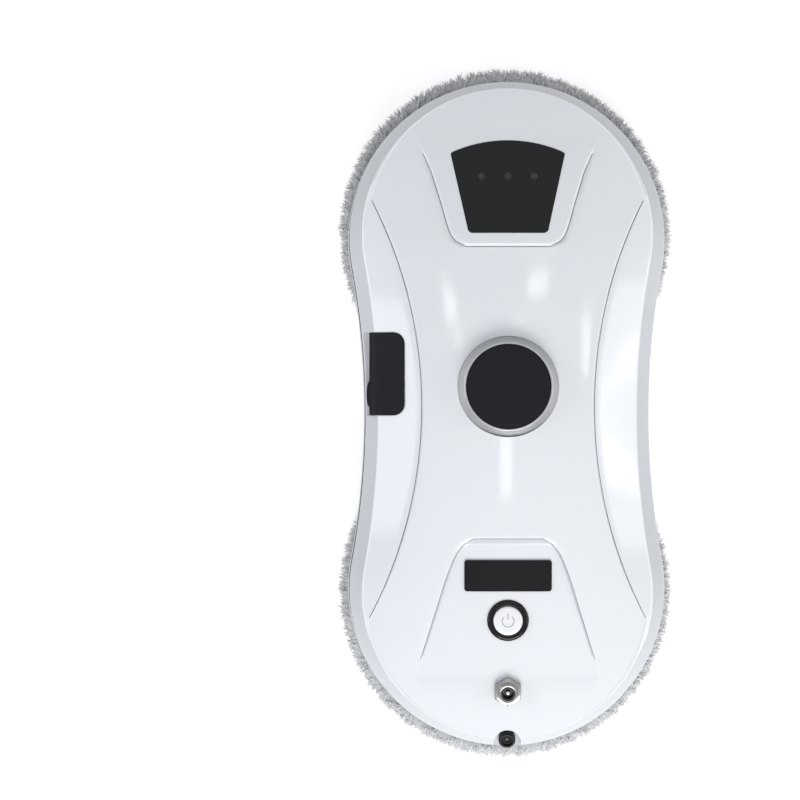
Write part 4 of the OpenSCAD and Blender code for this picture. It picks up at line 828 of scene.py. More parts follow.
# Filler cover's section, from its hinge edge outwards, as (distance from the middle, height)
FILLER_OUT_Z = DECK_Z - (FILLER_OUT - FILLER_BEND) * 7 / (BAND_W - RIM_W) + FILLER_RISE
FILLER_TOP = [(FILLER_IN, deck_z(FILLER_IN, FILLER_Y) + FILLER_RISE),
              (FILLER_BEND, DECK_Z + FILLER_RISE), (FILLER_OUT, FILLER_OUT_Z)]
FILLER_LOW = [(FILLER_IN, FILLER_TOP[0][1] - FILLER_T),
              (FILLER_BEND - FILLER_T / 2, FILLER_TOP[1][1] - FILLER_T),
              (FILLER_OUT, FILLER_OUT_Z - FILLER_T)]
TAB_Y = FILLER_Y - FILLER_LEN / 4


def filler_loop(grow, out):
    """The filler cover's outline seen from above, grown, with its outer edge further out."""
    r = FILLER_CORNER + grow
    half = FILLER_LEN / 2 + grow
    inner = -FILLER_IN + grow
    loop = [(-FILLER_OUT - out, FILLER_Y - half)]
    for turn, y in ((-90, FILLER_Y - half + r), (0, FILLER_Y + half - r)):
        for k in range(9):
            a = math.radians(turn + 90 * k / 8)
            loop.append((inner - r + r * math.cos(a), y + r * math.sin(a)))
    loop.append((-FILLER_OUT - out, FILLER_Y + half))
    return loop


def notch_loop(grow):
    r = NOTCH_W / 2 + grow
    middle = -END_Y + NOTCH_LEN - NOTCH_W / 2
    arch = [(r * cos_deg(180 - 7.5 * k), middle + r * sin_deg(7.5 * k))
            for k in range(25)]
    return [(-r, -END_Y - 2)] + arch + [(r, -END_Y - 2)]


RING_TOP = CROWN_Z + RING_RISE
RING_SEAT = deck_z(RING_R, CAP_Y) - RING_SINK


def cover():
    piece = cover_mesh()
    low = -FILLER_LEN / 2 - POCKET_WALL + FILLER_Y
    block = prism_y("pocket_block", [(-x, z - GAP - POCKET_WALL) for x, z in FILLER_LOW]
                    + [(-x, z - 2 * FILLER_RISE) for x, z in FILLER_TOP[::-1]],
                    low, low + FILLER_LEN + 2 * POCKET_WALL)
    join(piece, block)
    walls = prism("notch_walls", notch_loop(WALL_T), NOTCH_FLOOR - WALL_T, BAND_Z + 2 * OVER)
    body = prism("notch_limit", body_loop(RIM_W + WALL_T / 2), SEAM_Z, CROWN_Z)
    combine(walls, body, "INTERSECT")
    join(piece, walls)
    cut(piece, deck_plate("window_cut", window_rows(FIT), 3 * OVER, -2 * WALL_T, 12))
    cut(piece, prism("ring_cut", disc(RING_R + FIT, 0, CAP_Y), RING_SEAT, CROWN_Z + CUT_OVER))
    cut(piece, prism("cap_cut", disc(CAP_R + RING_WALL, 0, CAP_Y), DECK_Z,
                     CROWN_Z + CUT_OVER))
    cut(piece, prism("button_cut", disc(BUTTON_RING_R + FIT), -CUT_OVER, BUTTON_HEAD_ROOM,
                     deck_turn(BUTTON_Y)))
    cut(piece, prism("nut_cut", disc(NUT_ROOM_SHARE * NUT_FLATS / 2), 0, NUT_HEAD_ROOM,
                     deck_turn(SOCKET_Y)))
    cut(piece, prism("notch_cut", notch_loop(0), NOTCH_FLOOR, CROWN_Z))
    far = -FILLER_OUT - POCKET_OVER
    foot = FILLER_LOW[2][1] - GAP
    pocket = prism_y("pocket_cut", [
        (-FILLER_IN + GAP, CROWN_Z), (-FILLER_IN + GAP, FILLER_LOW[0][1] - GAP),
        (-FILLER_LOW[1][0], FILLER_LOW[1][1] - GAP), (-FILLER_OUT - GAP, foot), (far, foot),
        (far, CROWN_Z)], FILLER_Y - POCKET_REACH, FILLER_Y + POCKET_REACH)
    plan = prism("pocket_plan", filler_loop(GAP, POCKET_OVER - OVER), SEAM_Z, CROWN_Z + OVER)
    combine(pocket, plan, "INTERSECT")
    cut(piece, pocket)
    tab = prism_y("tab_cut", [(-FILLER_OUT + OVER, foot), (-FILLER_OUT + OVER, CROWN_Z),
                              (far, CROWN_Z), (far, foot)],
                  TAB_Y - TAB_LEN / 2 - GAP, TAB_Y + TAB_LEN / 2 + GAP)
    cut(piece, tab)
    cut(piece, prism("port_cut", disc(PORT_R, -PORT_X, FILLER_Y), BAND_Z, CROWN_Z))
    for side in (-1, 1):
        left = side * (WAIST_HALF + WALL_T) - SLOT_LEFT
        right = left + SLOT_LEFT + SLOT_RIGHT
        for i in range(SLOT_COUNT):
            y = SLOT_Y + (i - (SLOT_COUNT - 1) / 2) * SLOT_STEP
            cut(piece, prism("slot_cut", [(left, y - SLOT_HALF), (right, y - SLOT_HALF),
                                          (right, y + SLOT_HALF), (left, y + SLOT_HALF)],
                             SEAM_Z + SLOT_LOW, SEAM_Z + SLOT_HIGH))
    return piece


# How flat a face, how near the deck and how strong a border line has to be for its paint: the band's
# grey, and the painted shade in the fine grooves and on the sunk panel's wall
DECK_UP = 0.3
DECK_NEAR = 0.3
DECK_MATCH = 0.02
TIP_GAP = 1
EDGE_KEEP_SHARE = 0.9
BAND_UP = 0.12
BAND_BELOW = 0.6
BAND_ABOVE = 0.05
EDGE_GAP = 0.2
SHADE_LINE_STEP = 0.12
SHADE_LINE_FADE = 0.25
SHADED_WALL_FADE = 0.35
SHADED_WALL_SHARES = (0.05, 0.97)


def smooth_deck(piece):
    """Gives the deck its true normals, so that the cuts leave no marks in the gloss."""
    mesh = piece.data
    shade(piece)
    normals = [Vector(c.vector) for c in mesh.corner_normals]
    on_deck = []
    for v in mesh.vertices:
        x, y, z = v.co / MM
        inside = abs(y) < INNER_END - TIP_GAP and abs(x) < half_in(y) - EDGE_KEEP_SHARE * EDGE_ROUND
        on_deck.append(inside and abs(deck_z(x, y) - z) < DECK_MATCH)
    for poly in mesh.polygons:
        if poly.normal.z < DECK_UP or not all(on_deck[v] for v in poly.vertices):
            continue
        for corner in poly.loop_indices:
            x, y, z = mesh.vertices[mesh.loops[corner].vertex_index].co / MM
            normals[corner] = deck_normal(x, y)
    mesh.normals_split_custom_set([tuple(n) for n in normals])


def paint_cover(piece):
    """The sloped edge band is grey; the deck's fine grooves get a painted shade line and the sunk
    panel's wall is painted darker as painted shade.
    """
    for slot in ("band_grey", "groove_shade_grey", "wall_shade_grey"):
        piece.data.materials.append(finishes[slot])
    for poly in piece.data.polygons:
        x, y, z = poly.center / MM
        x = abs(x)
        if abs(y) > INNER_END or x > half_in(y) - EDGE_GAP:
            if BAND_Z - BAND_BELOW < z < DECK_Z + BAND_ABOVE and poly.normal.z > BAND_UP:
                poly.material_index = 1
            continue
        if poly.normal.z < DECK_UP or abs(deck_z(x, y) - z) > DECK_NEAR:
            continue
        gap, fade = border_gap(x, y)
        # Painted shade line in the groove at the foot of each crease and along the panels' borders
        if abs(x - crease_out(y)) < SHADE_LINE_HALF and step_h(y) > SHADE_LINE_STEP:
            poly.material_index = 2
        elif gap < SHADE_LINE_HALF and fade > SHADE_LINE_FADE:
            poly.material_index = 2
        # Painted shade: the sunk panel's sloped wall is painted darker grey
        elif (y < -SUNK_Y and fade > SHADED_WALL_FADE
              and SHADED_WALL_SHARES[0] < -relief(x, y) / sunk_depth(y) < SHADED_WALL_SHARES[1]):
            poly.material_index = 3


top = cover()
dress(top, "chassis", "shell_white", "top_cover")
paint_cover(top)
smooth_deck(top)


# Base shell: a thin rim stands out under the cover
BASE_ROUND = 0.5
THRUST_SINK = 0.5
HOLE_LOW = 10
CASE_BOSS_GAP = 1.4
CASE_BOSS_R = 3.5
CASE_ANGLES = (15, -14)
CASE_HEAD_R = 2.75
CASE_SEAT = 0.4
PARTING_IN = 0.15


def base_shell():
    piece = prism("base_shell", body_loop(0), BASE_Z, SEAM_Z)
    bevel(piece, BASE_ROUND)
    cut(piece, prism("base_hollow", body_loop(WALL_T), FLOOR_Z, SEAM_Z + 3 * OVER))
    hole = COLLAR_R + 2 * GAP
    for side in (1, -1):
        ring = prism("thrust_ring", disc(hole + THRUST_RING_W, 0, side * WHEEL_Y),
                     DISC_TOP + GAP, FLOOR_Z - THRUST_SINK)
        join(piece, ring)
        cut(piece, prism("wheel_hole", disc(hole, 0, side * WHEEL_Y), HOLE_LOW, SEAM_Z))
    case_r = LOBE_R - (RIM_W + WALL_T + 2 * FIT) - CASE_BOSS_GAP - CASE_BOSS_R - FIT
    for side in (-1, 1):
        for a in CASE_ANGLES:
            for mirror in (1, -1):
                y = side * (LOBE_Y + case_r * sin_deg(a))
                if mirror * side < 0 and abs(y) < LOBE_Y:
                    continue
                x = mirror * case_r * cos_deg(a)
                cut(piece, prism("screw_hole", disc(CASE_HEAD_R, x, y, 24), HOLE_LOW,
                                 FLOOR_Z - CASE_SEAT))
    return piece


def parting_line(piece):
    """A narrow groove in the base's rim, along the foot of the cover, its floor painted near black as
    painted shade.
    """
    line = prism("parting_line", body_loop(PARTING_OUT), SEAM_Z - PARTING_H, SEAM_Z + OVER)
    cut(line, prism("parting_core", body_loop(RIM_W + PARTING_IN), SEAM_Z - 2 * OVER,
                    SEAM_Z + 2 * OVER))
    cut(piece, line)
    piece.data.materials.append(finishes["parting_groove_shade"])
    for poly in piece.data.polygons:
        if poly.normal.z > 0.9 and abs(poly.center.z / MM - SEAM_Z + PARTING_H) < 0.05:
            poly.material_index = 1


base = base_shell()
dress(base, "chassis", "shell_grey", "base_plate")
parting_line(base)
shade(base)


# Status window, label plate
WINDOW_PLAY = 0.05
WINDOW_RISE = 0.2
WINDOW_SINK = 1.6
WINDOW_ROUND = 0.3
LABEL_ROUND = 0.15
window = deck_plate("window_panel", window_rows(-WINDOW_PLAY), WINDOW_RISE, -WINDOW_SINK)
bevel(window, WINDOW_ROUND, 3, math.radians(40))
dress(window, "chassis", "window_smoked", "status_window")

label_rows = []
for k in range(7):
    turn_in = math.radians(15 * k)
    label_rows.append((LABEL_Y - LABEL_LEN / 2 + LABEL_CORNER * (1 - math.cos(turn_in)),
                       LABEL_W / 2 - LABEL_CORNER * (1 - math.sin(turn_in))))
label_rows += [(2 * LABEL_Y - y, half) for y, half in label_rows[::-1]]
label = deck_plate("label_panel", label_rows, LABEL_T + FIT, FIT, 20)
bevel(label, LABEL_ROUND, 2, math.radians(50))
dress(label, "chassis", "label_black", "label_plate")


# Silver ring and black cap
RING_LIP_H = 1.9
RING_STEP_W = 0.7
RING_STEP_H = 1
RING_WELL = 3.5
RING_ROUND = 0.35
CAP_T = 3
CAP_FLAT = 4
CAP_ROUND = 0.5
at_cap = Matrix.Translation((0, CAP_Y, 0))


def rounded(profile, reach, steps=3):
    """The profile's inner corners replaced by small rounds."""
    line = [profile[0]]
    for a, b, c in zip(profile, profile[1:], profile[2:]):
        start = along(b, a, reach)
        stop = along(b, c, reach)
        line += [bend(start, b, stop, k / steps) for k in range(steps + 1)]
    return line + [profile[-1]]


bevel_w = RING_R - CAP_R - RING_WALL / 2
ring = lathe("bezel_ring", rounded([
    (CAP_R - RING_WALL, RING_SEAT), (RING_R, RING_SEAT), (RING_R, RING_SEAT + RING_LIP_H),
    (RING_R - RING_STEP_W, RING_SEAT + RING_LIP_H + RING_STEP_H), (RING_R - bevel_w, RING_TOP),
    (CAP_R + FIT, RING_TOP), (CAP_R + FIT, RING_TOP - RING_WELL),
    (CAP_R - RING_WALL, RING_TOP - RING_WELL)], RING_ROUND), at_cap, 160)
dress(ring, "chassis", "ring_silver", "center_ring")

cap_top = RING_TOP - CAP_SINK
cap = lathe("cap_disc", rounded([
    (0, cap_top - CAP_T), (CAP_R, cap_top - CAP_T), (CAP_R, cap_top), (CAP_R - CAP_FLAT, cap_top),
    (0, cap_top)], CAP_ROUND), at_cap, 160)
dress(cap, "chassis", "cap_black", "center_cap")


# Power button with a generic on-off symbol
PLAY = 0.06
BEZEL_LEN = 6
BEZEL_STEP = 1
BEZEL_LIP_H = 0.55
BEZEL_SLOPE_W = 0.9
BEZEL_H = 1
BEZEL_IN_W = 0.5
BEZEL_IN_H = 0.7
BEZEL_ROUND = 0.3
BUTTON_ROUND = 0.5
DOME_RADII = (4.8, 3.6, 2.4, 1.2, 0)
at_button = deck_turn(BUTTON_Y)
button_ring = lathe("button_bezel", rounded([
    (BUTTON_R + PLAY, -BEZEL_LEN), (BUTTON_RING_R - BEZEL_STEP, -BEZEL_LEN),
    (BUTTON_RING_R - BEZEL_STEP, 0), (BUTTON_RING_R, 0), (BUTTON_RING_R, BEZEL_LIP_H),
    (BUTTON_RING_R - BEZEL_SLOPE_W, BEZEL_H), (BUTTON_R + BEZEL_IN_W, BEZEL_H),
    (BUTTON_R + PLAY, BEZEL_IN_H)], BEZEL_ROUND), at_button, 96)
dress(button_ring, "chassis", "ring_black", "button_ring")

BUTTON_TOP = BUTTON_FLANGE + BUTTON_RISE
DOME_H = 0.35


def dome_z(r):
    return BUTTON_TOP - DOME_H * (r / BUTTON_R) ** 2


edge_r = BUTTON_R - BUTTON_ROUND
edge_h = dome_z(BUTTON_R) - BUTTON_ROUND
button = lathe("button_cap", [(0, BUTTON_TOP - BUTTON_T), (BUTTON_R, BUTTON_TOP - BUTTON_T)]
               + [(BUTTON_R, edge_h)]
               + [(edge_r + BUTTON_ROUND * cos_deg(a),
                   edge_h + BUTTON_ROUND * sin_deg(a)) for a in (30, 60)]
               + [(r, dome_z(r)) for r in (edge_r, *DOME_RADII)], at_button, 96)
dress(button, "power_button", "button_white", "power_button")


MARK_R = 2.5
MARK_W = 0.42
MARK_LIFT = 0.03
MARK_SINK = 0.2
STEM_PLACES = [(0, 0.6), (0, 1.6), (0, 2.6), (0, 3.3)]


def ribbon(name, path, width, lift, turn):
    """A thin raised line over the button's dome along a path of (x, y)."""
    verts = []
    for i, (x, y) in enumerate(path):
        ax, ay = path[max(i - 1, 0)]
        bx, by = path[min(i + 1, len(path) - 1)]
        size = math.hypot(bx - ax, by - ay)
        nx, ny = -(by - ay) / size * width / 2, (bx - ax) / size * width / 2
        for sx, z in ((1, -MARK_SINK), (1, lift), (-1, lift), (-1, -MARK_SINK)):
            px, py = x + sx * nx, y + sx * ny
            verts.append((px, py, dome_z(math.hypot(px, py)) + z))
    faces = [[3, 2, 1, 0]]
    for i in range(len(path) - 1):
        faces += [[4 * i + k, 4 * i + (k + 1) % 4, 4 * i + 4 + (k + 1) % 4, 4 * i + 4 + k]
                  for k in range(4)]
    n = 4 * len(path) - 4
    faces.append([n, n + 1, n + 2, n + 3])
    return mesh_piece(name, verts, faces, turn)


mark_path = [(MARK_R * sin_deg(a), MARK_R * cos_deg(a))
             for a in range(38, 323, 12)]
mark = ribbon("button_mark_arc", mark_path, MARK_W, MARK_LIFT, at_button)
stem = ribbon("button_mark_stem", STEM_PLACES, MARK_W, MARK_LIFT, at_button)
for line in (mark, stem):
    dress(line, "power_button", "button_white", look="button_mark", angle=None)


# Power socket: threaded barrel, bevelled nut, insert and pin
at_socket = deck_turn(SOCKET_Y)
SOCKET_TOP = NUT_T + SOCKET_RISE
THREAD_STEP = 0.6
THREAD_H = 0.28
THREAD_FROM = 0.3
THREAD_END = 0.4
BARREL_SINK = 4
BARREL_EDGE = 0.3
CORE_PLAY = 0.05


def thread(r, low, high):
    """Pointed ridges along a barrel, as (radius, height)."""
    line = []
    n = round((high - low) / THREAD_STEP)
    for i in range(n):
        z = low + (high - low) * i / n
        line += [(r - THREAD_H, z), (r, z + (high - low) / n / 2)]
    return line + [(r - THREAD_H, high)]


barrel = lathe("socket_barrel", [(INSERT_R + CORE_PLAY, -BARREL_SINK), (SOCKET_R, -BARREL_SINK),
                                 (SOCKET_R, 0)]
               + thread(SOCKET_R, THREAD_FROM, SOCKET_TOP - THREAD_END)
               + [(SOCKET_R - BARREL_EDGE, SOCKET_TOP), (INSERT_R + BARREL_EDGE, SOCKET_TOP),
                  (INSERT_R + CORE_PLAY, SOCKET_TOP - BARREL_EDGE + CORE_PLAY)], at_socket, 72)
dress(barrel, "chassis", "socket_metal", "dc_socket", angle=math.radians(50))

corner_r = NUT_FLATS / 2 / cos_deg(30)
NUT_SEAT = 0.02
NUT_CONE_H = 1.35
NUT_FACE_IN = 0.35
NUT_ROUND = 0.12
angles = [math.radians(30 + 60 * k) for k in range(6)]
hexagon = [(corner_r * math.cos(a), corner_r * math.sin(a)) for a in angles]
nut = prism("socket_nut", hexagon, NUT_SEAT, NUT_T, at_socket)
# The top corners are turned off to a cone, as on a real nut
wide = corner_r + 2 * OVER
cone = lathe("nut_cone", [(0, -OVER), (wide, -OVER), (wide, NUT_T - NUT_CONE_H),
                          (NUT_FLATS / 2 - NUT_FACE_IN, NUT_T + NUT_SEAT), (0, NUT_T + NUT_SEAT)],
             at_socket, 96)
combine(nut, cone, "INTERSECT")
cut(nut, prism("nut_bore", disc(SOCKET_R + PLAY), -2 * OVER, NUT_HEAD_ROOM, at_socket))
bevel(nut, NUT_ROUND, 2, math.radians(35))
dress(nut, "chassis", "nut_metal", "dc_socket_nut")

INSERT_LOW = SOCKET_TOP - INSERT_LEN
INSERT_FLOOR = INSERT_LOW + 1
INSERT_MOUTH_R = 2.35
INSERT_WELL_R = 2.2
INSERT_ROUND = 0.15
PIN_ROUND = 0.7
insert = lathe("socket_core", rounded([
    (PIN_R + CORE_PLAY, INSERT_LOW), (INSERT_R, INSERT_LOW), (INSERT_R, SOCKET_TOP - INSERT_RECESS),
    (INSERT_MOUTH_R, SOCKET_TOP - INSERT_RECESS), (INSERT_WELL_R, INSERT_FLOOR),
    (PIN_R + CORE_PLAY, INSERT_FLOOR)], INSERT_ROUND), at_socket, 72)
dress(insert, "chassis", "socket_insert", "dc_socket_insert")
shoulder = SOCKET_TOP - PIN_RECESS - PIN_ROUND
pin = lathe("socket_contact", [(0, INSERT_LOW), (PIN_R, INSERT_LOW), (PIN_R, shoulder)]
            + [(PIN_R * cos_deg(a), shoulder + PIN_ROUND * sin_deg(a))
               for a in (25, 50, 75)]
            + [(0, SOCKET_TOP - PIN_RECESS)], at_socket, 48)
dress(pin, "chassis", "contact_metal", "dc_socket_pin")


# Spray nozzle
MOUTH_FLOOR = NOZZLE_RISE - MOUTH_RECESS - ATOMISER_T
MOUTH_LEN = 4
NOZZLE_EDGE = 0.4
NOZZLE_FACE = 0.5
NOZZLE_WALL = 1
NOZZLE_ROUND = 0.2
at_nozzle = (Matrix.Translation((0, -END_Y + NOTCH_LEN / 2, NOTCH_FLOOR))
             @ Matrix.Rotation(NOZZLE_TILT, 4, "X"))
nozzle = lathe("nozzle_tip", rounded([
    (0, -NOZZLE_LEN), (NOZZLE_R, -NOZZLE_LEN), (NOZZLE_R, NOZZLE_RISE - NOZZLE_EDGE),
    (NOZZLE_R - NOZZLE_FACE, NOZZLE_RISE), (NOZZLE_R - NOZZLE_WALL, NOZZLE_RISE),
    (NOZZLE_R - NOZZLE_WALL, MOUTH_FLOOR),
    (MOUTH_R, MOUTH_FLOOR), (MOUTH_R, -MOUTH_LEN), (0, -MOUTH_LEN)], NOZZLE_ROUND), at_nozzle, 72)
dress(nozzle, "chassis", "nozzle_black", "spray_nozzle")


# Filler cover: one soft moulding that follows the band, with a round finger tab
def soft_line(x, places):
    """The height on a section's line, with its bend rounded."""
    if abs(x - FILLER_BEND) >= BEND_REACH:
        return lookup(x, places)
    return sum(lookup(x + dx, places) for dx in BORDER_SPREAD) / len(BORDER_SPREAD)


def filler_cover():
    cells = 22
    rows = []
    n = 40
    half = FILLER_LEN / 2
    for k in range(n + 1):
        # Rows crowd towards both ends, where the hinge corners are round
        s = -math.cos(math.pi * k / n)
        y = FILLER_Y + half * s
        away = half - abs(y - FILLER_Y)
        inset = 0
        if away < FILLER_CORNER:
            inset = FILLER_CORNER - math.sqrt(max(0, FILLER_CORNER ** 2 - (FILLER_CORNER - away) ** 2))
        tab = max(0, 1 - ((y - TAB_Y) / (TAB_LEN / 2)) ** 2)
        rows.append((y, FILLER_IN + inset, FILLER_OUT + TAB_OUT * math.sqrt(tab)))
    verts = []
    for places in (FILLER_TOP, FILLER_LOW):
        for y, low, high in rows:
            for j in range(cells + 1):
                x = low + (high - low) * j / cells
                verts.append((-x, y, soft_line(x, places)))
    piece = mesh_piece("filler_flap", verts, plate_faces(len(rows), cells))
    bevel(piece, FLAP_ROUND, 3, math.radians(45))
    plug = lathe("filler_plug", [(0, -PLUG_H), (PLUG_R - PLUG_EDGE, -PLUG_H),
                                 (PLUG_R, PLUG_EDGE - PLUG_H), (PLUG_R, PLUG_SINK), (0, PLUG_SINK)],
                 Matrix.Translation((-PORT_X, FILLER_Y, lookup(PORT_X + PLUG_R, FILLER_LOW))), 48)
    join(piece, plug)
    return piece


filler = filler_cover()
dress(filler, "fill_cover", "rubber_black", "fill_cover")


# Mop pads: a backing ring, a pile of short tufts under it, and a shaggy fringe round its rim.
# Pairs are the ends of a range, or for a LIFT the mean and the spread of a lean upwards.
STRAND_TAPER = 0.75
PAD_LOW = 0.15
TUFT_STEP = 2.1
TUFT_STEP_SHARE = 0.56
TUFT_RIM_GAP = 3
TUFT_BORE_GAP = 1.5
TUFT_ROOT_Z = 3.6
TUFT_LEAN = 0.35
TUFT_LEN = 3.1
TUFT_THICK = (0.75, 1.0)
TUFT_BEND = (-0.8, 0.8)
RIM_STRANDS = 5600
RIM_REACH = (-2.4, 0.6)
# Waves that gather the fringe in clumps: weight, count round the rim, sway and its count
RIM_WAVES = ((1, 61, 4, 7), (0.6, 137, 5, 11))
RIM_WAVE_REACH = 0.5
RIM_LEN = (3.6, 6)
RIM_ROOT_Z = 1.2
RIM_ROOT_H = 6.2
RIM_SWERVE = 0.32
RIM_LIFT = (0.12, 0.22)
RIM_THICK = (0.28, 0.5)
RIM_BEND = 1.1
BORE_STRANDS = 500
BORE_ROOT_GAP = 3
BORE_ROOT_Z = (1, 6)
BORE_LIFT = (-0.1, 0.25)
BORE_LEN = (2, 3.4)
BORE_THICK = 0.5
BORE_BEND = (-0.5, 0.4)
BACK_LOW = 2.6
BACK_EDGE = 4
BACK_RIM = 2.4
BACK_RIM_Z = 4
BACK_CORNER = 0.6
BACK_SKIN = 0.05


def strand(verts, faces, root, aim, length, thick, bend_dir, bend_by, sides=3, parts=4):
    """One tapered, curved fibre bundle."""
    first = len(verts)
    aim = aim.normalized()
    side = aim.orthogonal().normalized()
    up = aim.cross(side)
    for i in range(parts):
        s = i / parts
        place = root + aim * (length * s) + bend_dir * (bend_by * s * s)
        r = thick * (1 - STRAND_TAPER * s * s)
        for k in range(sides):
            a = math.tau * k / sides
            verts.append(place + (side * math.cos(a) + up * math.sin(a)) * r)
    verts.append(root + aim * length + bend_dir * bend_by)
    tip = len(verts) - 1
    faces.append([first + k for k in range(sides)][::-1])
    for i in range(parts - 1):
        for k in range(sides):
            a = first + i * sides + k
            b = first + i * sides + (k + 1) % sides
            faces.append([a, b, b + sides, a + sides])
    low = first + (parts - 1) * sides
    faces += [[low + k, low + (k + 1) % sides, tip] for k in range(sides)]


def loose_mesh(name, verts, faces):
    """A mesh of many closed strands, whose faces already look outwards."""
    mesh = bpy.data.meshes.new(name)
    mesh.from_pydata([(v[0] * MM, v[1] * MM, v[2] * MM) for v in verts], [], faces)
    piece = bpy.data.objects.new(name, mesh)
    bpy.context.scene.collection.objects.link(piece)
    piece.data.shade_smooth()
    return piece


def pad_pile(name, y0):
    verts = []
    faces = []
    golden = math.pi * (3 - math.sqrt(5))
    k = 0
    while True:
        r = TUFT_STEP * TUFT_STEP_SHARE * math.sqrt(k)
        k += 1
        if r > PAD_R - TUFT_RIM_GAP:
            break
        if r < PAD_BORE_R + TUFT_BORE_GAP:
            continue
        a = k * golden
        root = Vector((r * math.cos(a), y0 + r * math.sin(a), TUFT_ROOT_Z))
        lean = Vector((random.gauss(0, TUFT_LEAN), random.gauss(0, TUFT_LEAN), -1))
        swirl = Vector((-math.sin(a), math.cos(a), 0))
        strand(verts, faces, root, lean, TUFT_LEN, random.uniform(*TUFT_THICK), swirl,
               random.uniform(*TUFT_BEND), 4, 3)
    for i in range(RIM_STRANDS):
        a = math.tau * (i + random.random()) / RIM_STRANDS
        out = Vector((math.cos(a), math.sin(a), 0))
        side = Vector((-math.sin(a), math.cos(a), 0))
        layer = random.random()
        clump = sum(weight * math.sin(count * a + sway * math.sin(sway_count * a))
                    for weight, count, sway, sway_count in RIM_WAVES)
        reach = random.uniform(*RIM_REACH) + RIM_WAVE_REACH * clump
        length = random.uniform(*RIM_LEN)
        root = (out * (PAD_R + reach - length)
                + Vector((0, y0, RIM_ROOT_Z + RIM_ROOT_H * layer)))
        aim = out + side * random.gauss(0, RIM_SWERVE) + Vector((0, 0, random.gauss(*RIM_LIFT)))
        strand(verts, faces, root, aim, length, random.uniform(*RIM_THICK), side,
               random.gauss(0, RIM_BEND), 3, 3)
    for i in range(BORE_STRANDS):
        a = math.tau * (i + random.random()) / BORE_STRANDS
        out = Vector((math.cos(a), math.sin(a), 0))
        root = out * (PAD_BORE_R + BORE_ROOT_GAP) + Vector((0, y0, random.uniform(*BORE_ROOT_Z)))
        aim = -out + Vector((0, 0, random.gauss(*BORE_LIFT)))
        strand(verts, faces, root, aim, random.uniform(*BORE_LEN), BORE_THICK, Vector((0, 0, -1)),
               random.uniform(*BORE_BEND))
    for v in verts:
        v.z = max(v.z, PAD_LOW)
    return loose_mesh(name, verts, faces)


for wheel, side in (("front", 1), ("rear", -1)):
    y0 = side * WHEEL_Y
    pile = pad_pile(f"{wheel}_pad_pile", y0)
    dress(pile, f"{wheel}_wheel", "pad_fabric", f"{wheel}_mop_pad", angle=None)
    back = lathe(f"{wheel}_pad_back", rounded([
        (PAD_BORE_R + GAP, BACK_LOW), (PAD_R - BACK_EDGE, BACK_LOW), (PAD_R - BACK_RIM, BACK_RIM_Z),
        (PAD_R - BACK_RIM, PAD_T - BACK_CORNER), (PAD_R - BACK_EDGE, PAD_T - BACK_SKIN),
        (PAD_BORE_R + GAP, PAD_T - BACK_SKIN)], BACK_CORNER),
        Matrix.Translation((0, y0, 0)), 120)
    dress(back, f"{wheel}_wheel", "pad_fabric", look="pad_back")


# Frame nodes keep their shapes and get their slot's finish
for entry in frame["record"]["subparts"]:
    node = frame["nodes"][entry["node"]]
    node.data.materials.clear()
    node.data.materials.append(finishes[entry["material_slot"]])


# Floor, world, lamps and camera
def white_for_camera(tree, shade_socket, out_socket, strength):
    """Camera, glossy and transmission rays see white on top of what the lamps give."""
    path = add_node(tree, "LightPath", {})
    seen = calculate(tree, "MAXIMUM", path["Is Camera Ray"], path["Is Glossy Ray"])
    seen = calculate(tree, "MAXIMUM", seen, path["Is Transmission Ray"])
    glow = add_node(tree, "Emission", {"Strength": strength})[0]
    lit = add_node(tree, "AddShader", {0: shade_socket, 1: glow})[0]
    mixed = add_node(tree, "MixShader", {0: seen, 1: shade_socket, 2: lit})[0]
    tree.links.new(mixed, out_socket)


FLOOR_HALF = 4000
FLOOR_GLOW = 0.55
WORLD_TONE = (0.93, 0.96, 1.0, 1)
WORLD_STRENGTH = 0.42
WORLD_GLOW = 0.4


def studio():
    size = FLOOR_HALF
    floor = mesh_piece("floor", [(-size, -size, 0), (size, -size, 0), (size, size, 0), (-size, size, 0)],
                       [[0, 1, 2, 3]])
    mat = finish("floor_white", (0.8, 0.8, 0.8), 0.9, spread=0.004, patch=400)
    floor.data.materials.append(mat)
    tree = mat.node_tree
    white_for_camera(tree, tree.nodes["Principled BSDF"].outputs[0],
                     tree.nodes["Material Output"].inputs["Surface"], FLOOR_GLOW)
    world = bpy.data.worlds.new("studio")
    bpy.context.scene.world = world
    world.use_nodes = True
    tree = world.node_tree
    feed(tree, tree.nodes["Background"], {"Color": WORLD_TONE, "Strength": WORLD_STRENGTH})
    white_for_camera(tree, tree.nodes["Background"].outputs[0],
                     tree.nodes["World Output"].inputs["Surface"], WORLD_GLOW)


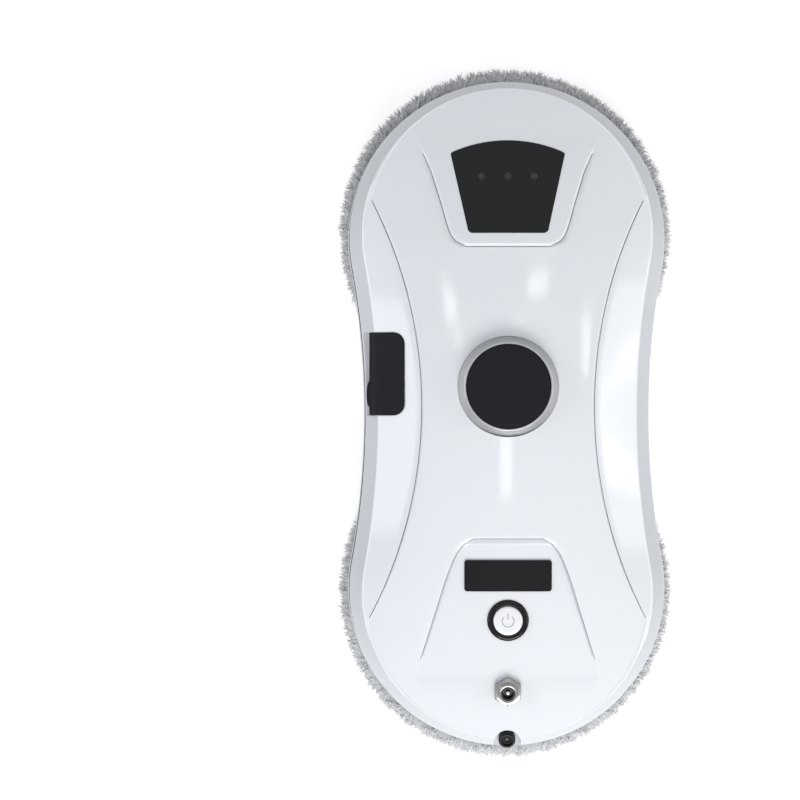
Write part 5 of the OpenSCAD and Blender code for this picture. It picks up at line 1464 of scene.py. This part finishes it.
def lamp(name, place, aim, size, power, color=(1, 1, 1)):
    data = bpy.data.lights.new(name, "AREA")
    data.shape = "RECTANGLE"
    data.size = size[0] * MM
    data.size_y = size[1] * MM
    data.energy = power
    data.color = color
    lamp_object = bpy.data.objects.new(name, data)
    bpy.context.scene.collection.objects.link(lamp_object)
    lamp_object.location = Vector(place) * MM
    # The lamp's width runs along X as far as its aim allows
    back = (Vector(place) - Vector(aim)).normalized()
    side = (Vector((1, 0, 0)) - back * back.x).normalized()
    if abs(back.x) > 0.8:
        side = Vector((0, 1, 0))
        side = (side - back * back.y).normalized()
    turn = Matrix((side, back.cross(side), back)).transposed()
    lamp_object.rotation_euler = turn.to_euler()
    lamp_object.visible_camera = False
    return lamp_object


CAMERA_X = -45.7
CAMERA_Y = 5.9
CAMERA_H = 1840
VIEW_W = 349.6
SENSOR = 36


def camera():
    data = bpy.data.cameras.new("camera")
    data.sensor_width = SENSOR
    data.lens = SENSOR * CAMERA_H / VIEW_W
    eye = bpy.data.objects.new("camera", data)
    bpy.context.scene.collection.objects.link(eye)
    eye.location = (CAMERA_X * MM, CAMERA_Y * MM, CAMERA_H * MM)
    bpy.context.scene.camera = eye


def glint(name, x, y, size, glow, distance=1200):
    """A small softbox whose mirror image on the deck falls at (x, y), seen from the camera."""
    place = Vector((x, y, deck_z(x, y)))
    view = (Vector((CAMERA_X, CAMERA_Y, CAMERA_H)) - place).normalized()
    normal = deck_normal(x, y)
    out = 2 * normal.dot(view) * normal - view
    power = glow * math.pi * size[0] * size[1] * MM * MM
    return lamp(name, place + out * distance, place, size, power)


studio()
camera()
lamp("key_box", (150, -1350, 1050), (0, 0, 20), (1300, 700), 19)
lamp("left_box", (-1400, 100, 700), (0, 0, 20), (1200, 700), 6, (0.95, 0.97, 1))
lamp("right_box", (1400, -100, 700), (0, 0, 20), (1200, 700), 5.5)
# The deck's small bright spots: their place, the box's size and glow, and for one its distance
GLINTS = ((12.5, 55, (140, 52), 5), (-24.5, 46, (84, 66), 5), (5, 39.5, (100, 14), 3.5),
          (33, 28, (60, 130), 4.5), (-21, 32, (64, 36), 3), (-1, -22, (90, 150), 4),
          (47, -23.5, (56, 46), 4, 900))
for letter, row in zip("abcdefg", GLINTS):
    glint(f"glint_{letter}", *row)

bpy.context.scene.view_settings.view_transform = "Standard"
